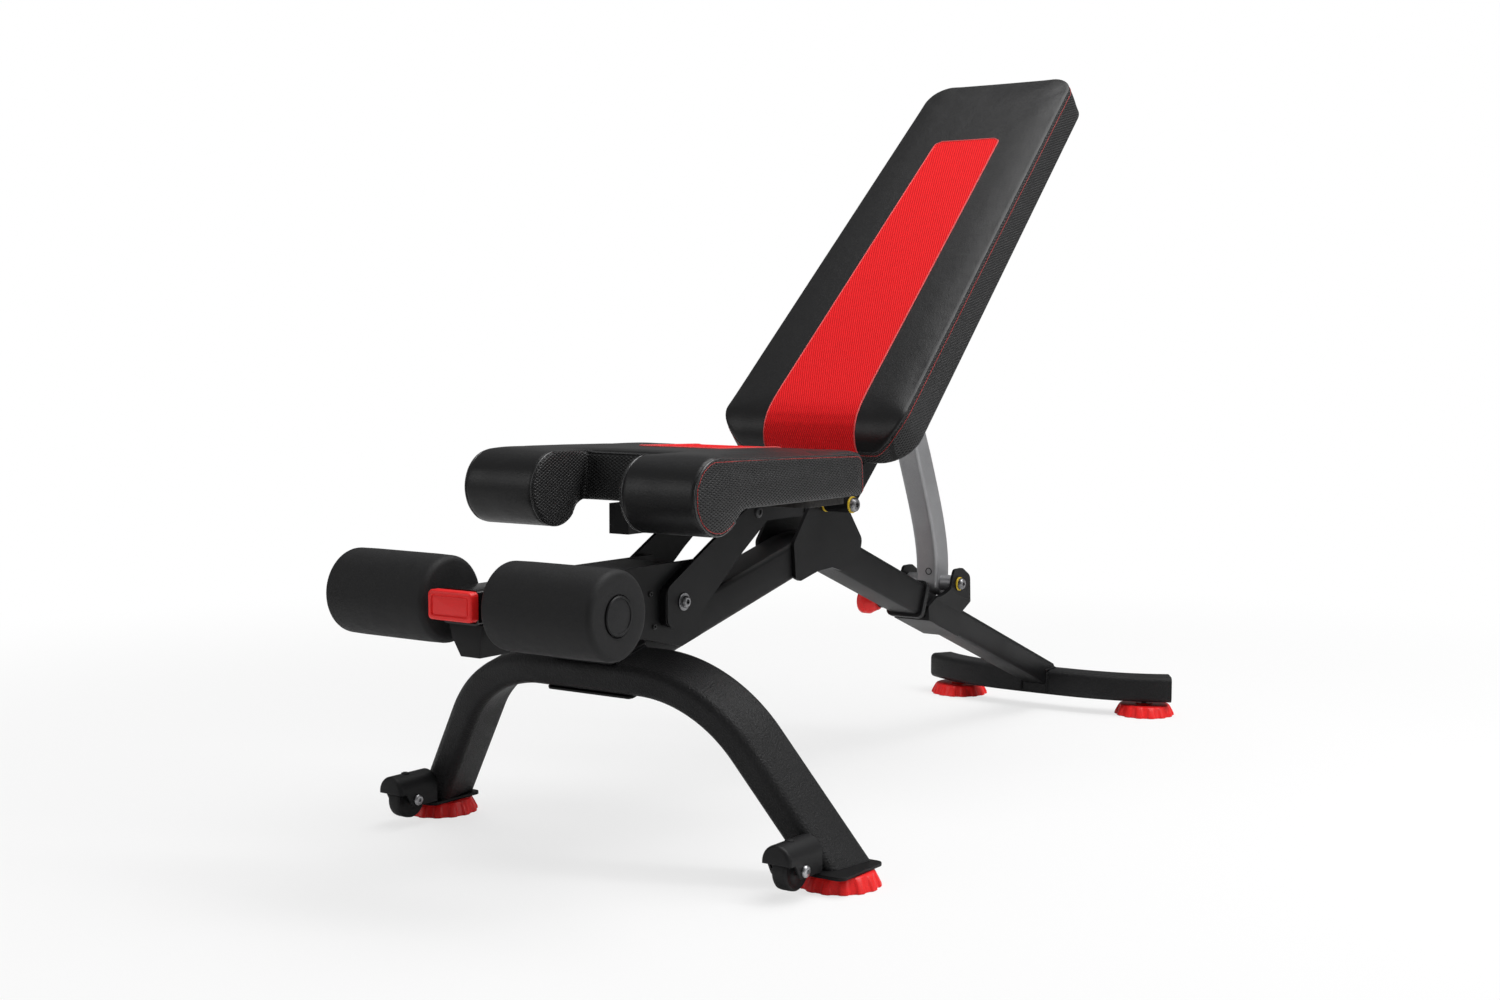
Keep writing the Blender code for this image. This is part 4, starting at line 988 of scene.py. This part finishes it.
def build_tubes():
    rail = tube([(0, y, z) for y, z in rail_path()], (1, 0, 0), RAIL_HEIGHT / 2, RAIL_WIDTH / 2, 0.006,
                TUBE_WALL)
    place("main_tube", rail, BENCH, "frame", "black_frame", stands_for=["main_rail"], sharp=50)
    middle = (BRACE_LOW + BRACE_HIGH) / 2
    brace = tube([(0, BRACE_FRONT, middle), (0, BRACE_REAR, middle)], (1, 0, 0), (BRACE_HIGH - BRACE_LOW) / 2,
                 BRACE_HALF, 0.005, TUBE_WALL)
    place("leg_brace_tube", brace, BENCH, "leg_brace", "smooth_coat",
          stands_for=["brace_tube"], sharp=50)
    height = (BAR_LOW + BAR_HIGH) / 2
    bar = tube([(x, BAR_MIDDLE_Y + BAR_SWEEP * abs(x / BAR_HALF_LENGTH) ** 3, height)
                for x in np.linspace(-BAR_HALF_LENGTH, BAR_HALF_LENGTH, 49)], (0, 0, 1), BAR_DEPTH / 2,
               (BAR_HIGH - BAR_LOW) / 2, 0.008, TUBE_WALL)
    place("rear_bar", bar, BENCH, "frame", "black_textured", stands_for=["rear_foot_bar"], sharp=50)


def build_strut():
    """The bowed silver strut: round at both ends, with a barrel across its foot."""
    control = ((0, 0), (0.081, -0.0395), (0.221, 0.0193), (PIVOT_RUN, 0))
    path, halves = [], []
    for i in range(49):
        t = i / 48
        weights = ((1 - t) ** 3, 3 * t * (1 - t) ** 2, 3 * t * t * (1 - t), t ** 3)
        path.append(Vector([sum(w * p[k] for w, p in zip(weights, control)) for k in (0, 1)]))
        halves.append(0.019 - max(0.0, 12 * t - 7) * 0.0018)
    left, right = [], []
    for i, point in enumerate(path):
        run = (path[min(i + 1, 48)] - path[max(i - 1, 0)]).normalized()
        across = Vector((-run.y, run.x)) * halves[i]
        left.append(point + across)
        right.append(point - across)

    def end_cap(point, first, radius, steps=14):
        start = math.atan2(first.y - point.y, first.x - point.x)
        return [point + Vector((math.cos(start + math.pi * k / steps), math.sin(start + math.pi * k / steps)))
                * radius for k in range(1, steps)]

    outline = right + end_cap(path[-1], right[-1], halves[-1])
    outline += left[::-1] + end_cap(path[0], left[0], halves[0])
    body = slab([tuple(p) for p in outline], -0.0175, 0.0175)
    soften(place("strut_tube", body, STRUT, "strut", "silver_paint", stands_for=["strut"]), 0.005, 5)
    barrel = [(-0.0385, 0), (-0.0385, 0.0105), (-0.0375, 0.0115), (0.0375, 0.0115), (0.0385, 0.0105),
              (0.0385, 0)]
    place("strut_barrel", lathe(barrel), STRUT, "strut", "silver_paint")
    # A thin disc with a low raised rim on the strut's edge face. The rim is shape; its near-black coat is
    # painted shade for the inside of the drain hole.
    rim = [(0.0, 0), (0.0, 0.0052), (0.0005, 0.005), (0.0005, 0.004), (-0.0001, 0.0038), (-0.0001, 0)]
    spot, run = left[3], left[4] - left[2]
    turn = (STRUT @ Matrix.Translation((0.004, spot.x, spot.y))
            @ Matrix.Rotation(math.atan2(run.y, run.x), 4, "X") @ UPRIGHT)
    place("strut_drain_hole_shade_disc", lathe(rim, 32), turn, "strut", "recess")


# ---- bolts
WHEEL_X, WHEEL_Y, WHEEL_Z, WHEEL_RADIUS = 0.2795, -0.0738, 0.0315, 0.023


def hex_reach(angle, across_flats):
    return across_flats / 2 / math.cos((angle + math.pi / 6) % (math.pi / 3) - math.pi / 6)


def bolt_head(start, sign, radius, height, socket, washer=0.0, sides=48):
    """A round bolt head with a hex socket, and a washer under it; it grows along X from `start`."""
    angles = [2 * math.pi * k / sides for k in range(sides)]

    def ring(x, reach):
        return [(start + sign * x, reach(a) * math.cos(a), reach(a) * math.sin(a)) for a in angles]

    parts, base = [], 0.0
    if washer:
        base = 0.0013
        parts.append(loft([ring(0, lambda a: washer - 0.0003), ring(0.0003, lambda a: washer),
                           ring(0.001, lambda a: washer), ring(base, lambda a: washer - 0.0004)]))
    dome = [(0.0, radius), (height * 0.45, radius), (height * 0.8, radius * 0.9), (height, radius * 0.72)]
    rings = [ring(base + x, lambda a, r=r: r) for x, r in dome]
    rings.append(ring(base + height, lambda a: hex_reach(a, socket)))
    rings.append(ring(base + height * 0.35, lambda a: hex_reach(a, socket) * 0.94))
    parts.append(loft(rings))
    return parts


def through_bolt(name, node, y, z, seat, shaft, body, **head):
    """A bolt across the bench with a head on each side; `seat` is where its heads start."""
    end = seat + 0.001
    parts = [lathe([(-end, 0), (-end, shaft), (end, shaft), (end, 0)], 32)]
    for sign in (-1, 1):
        parts += bolt_head(sign * seat, sign, **head)
    place(name, join(*parts), at(0, y, z), body, "steel", stands_for=[node])


def small_screw(x, sign, y, z, radius=0.0042):
    parts = bolt_head(x, sign, radius, 0.0022, radius * 0.9, 0.0, 32)
    for part in parts:
        part.transform(Matrix.Translation((0, y, z)))
    return parts


def build_bolts():
    through_bolt("seat_arm_bolt", "arm_bolt", 0.051, 0.2835, 0.0473, 0.0055, "frame", radius=0.0072,
                 height=0.0048, socket=0.0055, washer=0.0105)
    through_bolt("hinge_bolt", "hinge_axle", HINGE_Y, HINGE_Z, 0.0722, 0.006, "frame", radius=0.0092,
                 height=0.0062, socket=0.0065)
    through_bolt("strut_foot_bolt", "strut_bolt", STRUT_Y, STRUT_Z, 0.0468, 0.006, "frame", radius=0.0082,
                 height=0.0056, socket=0.0055)
    for side, sign in SIDES:
        x, parts = sign * WHEEL_X, []
        parts.append(lathe([(-0.019, 0), (-0.019, 0.004), (0.019, 0.004), (0.019, 0)], 24))
        for way in (-1, 1):
            parts += bolt_head(way * 0.0188, way, 0.0066, 0.0036, 0.0044)
        place(f"wheel_bolt_{side}", join(*parts), at(x, WHEEL_Y, WHEEL_Z), "frame",
              "bright_steel", stands_for=[f"wheel_axle_{side}"])
        screws = []
        for y, z in ((0.0, 0.297), (0.0072, 0.2585)):
            screws += small_screw(sign * 0.0369, sign, y, z, 0.0034)
        screws += small_screw(sign * 0.0469, sign, 0.2043, 0.378, 0.0075)
        place(f"frame_screws_{side}", join(*screws), BENCH, "frame", "black_screw")


# ---- feet, wheels and hoods
FOOT_RADIUS, FOOT_LOBES = 0.0465, 14


def build_feet():
    """Red levelling feet: a cone whose side is cut into raised and sunken facets, on a threaded stud."""
    places = [(f"front_{side}", sign * 0.294, 0.0) for side, sign in SIDES]
    places += [(f"rear_{side}", sign * 0.166, 1.115) for side, sign in SIDES]
    count = FOOT_LOBES * 14
    angles = [2 * math.pi * k / count for k in range(count)]
    for name, x, y in places:
        rings = []
        for z, radius, sunk in ((0.0, 0.97, 0.055), (0.001, 1.0, 0.06), (0.004, 0.985, 0.06),
                                (0.0115, 0.9, 0.05), (0.015, 0.855, 0.025), (0.0165, 0.82, 0.0),
                                (0.0172, 0.78, 0.0), (0.0172, 0.3, 0.0), (0.0186, 0.27, 0.0)):
            ring = []
            for angle in angles:
                wave = 0.5 + 0.5 * math.tanh(3.2 * math.cos(FOOT_LOBES * angle)) / math.tanh(3.2)
                reach = FOOT_RADIUS * radius * (1 - sunk * (1 - wave))
                ring.append((reach * math.cos(angle), reach * math.sin(angle), z))
            rings.append(ring)
        body = f"foot_{name}"
        place(f"foot_cone_{name}", loft(rings), at(x, y, 0), body, "red_plastic",
              stands_for=[body], sharp=28)
        turns = [(0.018 + 0.0005 * k, 0.005 if k % 2 else 0.0044) for k in range(25)]
        stud = [(0.0172, 0), (0.0172, 0.0048)] + turns + [(0.03, 0)]
        place(f"foot_stud_{name}", lathe(stud, 24), at(x, y, 0) @ UPRIGHT, body, "steel", sharp=20)


def hood_section(x, y, low, half, crown, wall):
    """The hood's section at one place along the bench, as a closed strip."""
    skins = []
    for shrink in (0.0, wall):
        skin = [(x + half - shrink, low)]
        skin += [(x + u, crown + v) for u, v in arc((0, 0), half - shrink, 0, 180, 20)]
        skin.append((x - half + shrink, low))
        skins.append(skin)
    return [(u, y, v) for u, v in skins[0] + skins[1][::-1]]


def build_hoods():
    half, wall, crown = 0.0185, 0.0025, WHEEL_Z + 0.012
    for side, sign in SIDES:
        x = sign * WHEEL_X
        rings = []
        for y in np.linspace(-0.0402, -0.0985, 30):
            share = min(max((-0.08 - y) / 0.013, 0.0), 1.0)
            low = 0.024 + 0.0165 * share * share * (3 - 2 * share)
            rings.append(hood_section(x, y, low, half, crown, wall))
        nose = []
        for angle in np.linspace(0, 84, 9):
            round_in = 0.005 * (1 - math.cos(math.radians(angle)))
            y = -0.098 - 0.005 * math.sin(math.radians(angle))
            reach = half - round_in
            ring = [(x + u, y, crown + v) for u, v in arc((0, 0), reach, 0, 180, 20)]
            low = 0.0405 + round_in * 0.4
            nose.append([(x + reach, y, low)] + ring + [(x - reach, y, low)])
        place(f"wheel_cover_{side}", join(loft(rings), loft(nose)), BENCH, "frame", "black_plastic",
              stands_for=[f"wheel_hood_{side}"], sharp=40)
        rivet = lathe([(0, 0), (0, 0.0052), (0.0012, 0.0046), (0.002, 0.0026), (0.0022, 0)], 28)
        top = at(x, -0.076, crown + half - 0.0003) @ UPRIGHT
        place(f"cover_rivet_{side}", rivet, top, "frame", "black_plastic")
        wheel = [(0.005, WHEEL_RADIUS), (0.0078, 0.0226), (0.0092, 0.0212), (0.0092, 0.018),
                 (0.009, 0.0176), (0.009, 0.0106), (0.0095, 0.01), (0.0095, 0.0046)]
        wheel = [(-x, r) for x, r in wheel[::-1]] + wheel
        place(f"wheel_tyre_{side}", lathe(wheel, 56), at(x, WHEEL_Y, WHEEL_Z), f"wheel_{side}",
              "black_plastic", stands_for=[f"transport_wheel_{side}"], sharp=40)


# ---- lever and knob
def build_lever():
    """The red squeeze lever: a raised frame round an inner panel."""
    face, half, low, high = -0.2915, 0.0305, 0.2958, 0.3272
    rings = []
    for inset, depth in ((0.0008, 0.012), (0.0, 0.0112), (0.0, 0.0022), (0.0006, 0.0007), (0.0018, 0.0),
                         (0.0044, 0.0), (0.005, 0.0006), (0.0051, 0.0016), (0.0061, 0.0016),
                         (0.0064, 0.001), (0.007, 0.0008)):
        outline = box_outline(inset - half, half - inset, low + inset, high - inset,
                              max(0.005 - inset * 0.5, 0.001), 6)
        rings.append([(x, face + depth, z) for x, z in outline])
    stem = slab(box_outline(-0.018, 0.018, 0.299, 0.319, 0.002), face + 0.0115, -0.258, "front")
    place("squeeze_lever", join(loft(rings), stem), BENCH, "lever", "red_plastic",
          stands_for=["release_lever"], sharp=40)


def build_knob():
    """The red knob on the pull pin, turned, with a groove round its grip."""
    y, drop = 0.629, -0.0135
    z = HUMP_Z + (y - HUMP_Y) * math.tan(math.radians(REAR_SLOPE)) + drop
    profile = [(-0.0325, 0), (-0.034, 0.0108), (-0.0348, 0.0122), (-0.04, 0.0142), (-0.046, 0.0172),
               (-0.048, 0.0184), (-0.0495, 0.0186), (-0.0505, 0.018), (-0.0515, 0.0186), (-0.059, 0.0186),
               (-0.061, 0.0176), (-0.062, 0.015), (-0.062, 0)]
    place("red_pull_knob", lathe(profile, 64), at(0, y, z), "pull_pin", "red_plastic",
          stands_for=["pull_knob"], sharp=40)


def weld_bead(points, radius):
    """Overlapping blobs along a line."""
    blobs = []
    for i, point in enumerate(resample(points, 0.0022)):
        blob = bmesh.new()
        bmesh.ops.create_icosphere(blob, subdivisions=2, radius=radius * (1 + 0.1 * math.sin(i * 2.1)))
        blob.transform(Matrix.Translation(point))
        blobs.append(blob)
    return blobs


def build_welds():
    """Beads of weld where the legs, plates and bars meet."""
    front, top, side = BAR_MIDDLE_Y - BAR_DEPTH / 2, 0.064, 0.0222
    beads, arch_beads = [], []
    for _, sign in SIDES:
        x, hump = sign * side, sign * 0.0253
        beads += weld_bead([(x, front - 0.004, top), (x, 1.088, top)], 0.0022)
        beads += weld_bead([(x, front - 0.0005, 0.029), (x, front - 0.0005, 0.06)], 0.0022)
        beads += weld_bead([(hump, 0.33, 0.284), (hump, 0.364, 0.2905), (hump, 0.4, 0.292)], 0.0016)
        crown = ARCH_TOP + ARCH_BAR / 2 + 0.0003
        arch_beads += weld_bead([(sign * 0.047, -0.026, crown), (sign * 0.047, 0.026, crown)], 0.0018)
    beads += weld_bead([(-side, 1.0885, top), (side, 1.0885, top)], 0.0022)
    place("weld_beads", join(*beads), BENCH, "frame", "black_frame", sharp=80)
    place("flange_welds", join(*arch_beads), ARCH, "frame", "black_frame", sharp=80)


build_arch()
build_tubes()
build_strut()
build_bolts()
build_feet()
build_hoods()
build_lever()
build_knob()
build_welds()


# ---- floor, light and camera
def build_floor():
    """A pale floor that fades to white away from the bench, with painted glow: white emission is mixed in for
    camera rays, which lifts the floor and pales the bench's shadow.
    """
    bm = bmesh.new()
    bm.faces.new([bm.verts.new((x, y, 0)) for x, y in ((-30, -30), (30, -30), (30, 30), (-30, 30))])
    mesh = baked("studio_floor", bm)
    floor = link("studio_floor", mesh)
    look = Look("studio_floor_paint", (0.86, 0.86, 0.86), 0.75)
    spots = look.noise(6.0, 2.0)
    look.use(look.tint(spots, (0.855, 0.855, 0.855), (0.865, 0.865, 0.865)))
    # Painted glow: camera rays get 0.7 of plain white emission within 0.6 m of the scene's origin, rising to
    # all of it past 2.3 m, so the floor looks evenly lit and its shadow fades.
    away = look.node("VectorMath", {0: look.place}, operation="LENGTH").outputs["Value"]
    seen = look.node("LightPath", {}).outputs["Is Camera Ray"]
    share = look.math("MULTIPLY", look.fit(away, 0.6, 2.3, 0.7, 1.0), seen)
    painted_glow = look.node("Emission", {"Color": (1, 1, 1, 1), "Strength": 1.0})
    mixed = look.node("MixShader", {0: share, 1: look.shader.outputs[0], 2: painted_glow.outputs[0]})
    output = next(n for n in look.tree.nodes if n.type == "OUTPUT_MATERIAL")
    look.tree.links.new(mixed.outputs[0], output.inputs["Surface"])
    mesh.materials.append(look.material)


def build_world():
    """White behind the object, and a dim even light on it."""
    world = bpy.data.worlds.new("studio")
    bpy.context.scene.world = world
    world.use_nodes = True
    tree = world.node_tree
    tree.nodes.clear()
    seen = tree.nodes.new("ShaderNodeLightPath").outputs["Is Camera Ray"]
    dim, white = tree.nodes.new("ShaderNodeBackground"), tree.nodes.new("ShaderNodeBackground")
    dim.inputs["Color"].default_value = (1, 1, 1, 1)
    dim.inputs["Strength"].default_value = 0.2
    white.inputs["Color"].default_value = (1, 1, 1, 1)
    mixed = tree.nodes.new("ShaderNodeMixShader")
    output = tree.nodes.new("ShaderNodeOutputWorld")
    tree.links.new(seen, mixed.inputs[0])
    tree.links.new(dim.outputs[0], mixed.inputs[1])
    tree.links.new(white.outputs[0], mixed.inputs[2])
    tree.links.new(mixed.outputs[0], output.inputs[0])


def add_light(name, place_at, aim, size, power):
    light = bpy.data.lights.new(name, "AREA")
    light.shape = "RECTANGLE"
    light.size, light.size_y = size
    light.energy = power
    obj = link(name, light)
    obj.location = place_at
    obj.rotation_euler = (Vector(aim) - Vector(place_at)).to_track_quat("-Z", "Y").to_euler()


def build_camera():
    camera = bpy.data.cameras.new("photo_camera")
    camera.lens, camera.sensor_width = 46.75, 36.0
    camera.clip_start, camera.clip_end = 0.05, 200.0
    obj = link("photo_camera", camera)
    yaw, pitch, roll = (math.radians(a) for a in (34.668, -4.493, 0.157))
    obj.matrix_world = (Matrix.Translation((1.3894, -2.1901, 0.579)) @ Matrix.Rotation(yaw, 4, "Z")
                        @ Matrix.Rotation(math.pi / 2 + pitch, 4, "X") @ Matrix.Rotation(roll, 4, "Z"))
    bpy.context.scene.camera = obj


build_floor()
build_world()
add_light("overhead_softbox", (0.7, 0.5, 3.2), (0.2, 0, 0.2), (2.7, 3.0), 92)
add_light("key_strip", (2.0, 0.6, 3.0), (0, 0, 0.5), (0.5, 2.4), 30)
add_light("right_softbox", (3.4, 0.6, 1.9), (0, 0, 0.4), (2.2, 2.4), 18)
add_light("front_fill", (-1.6, -3.0, 1.6), (0, 0, 0.4), (2.0, 1.6), 16)
build_camera()
bpy.context.scene.view_settings.view_transform = "Standard"
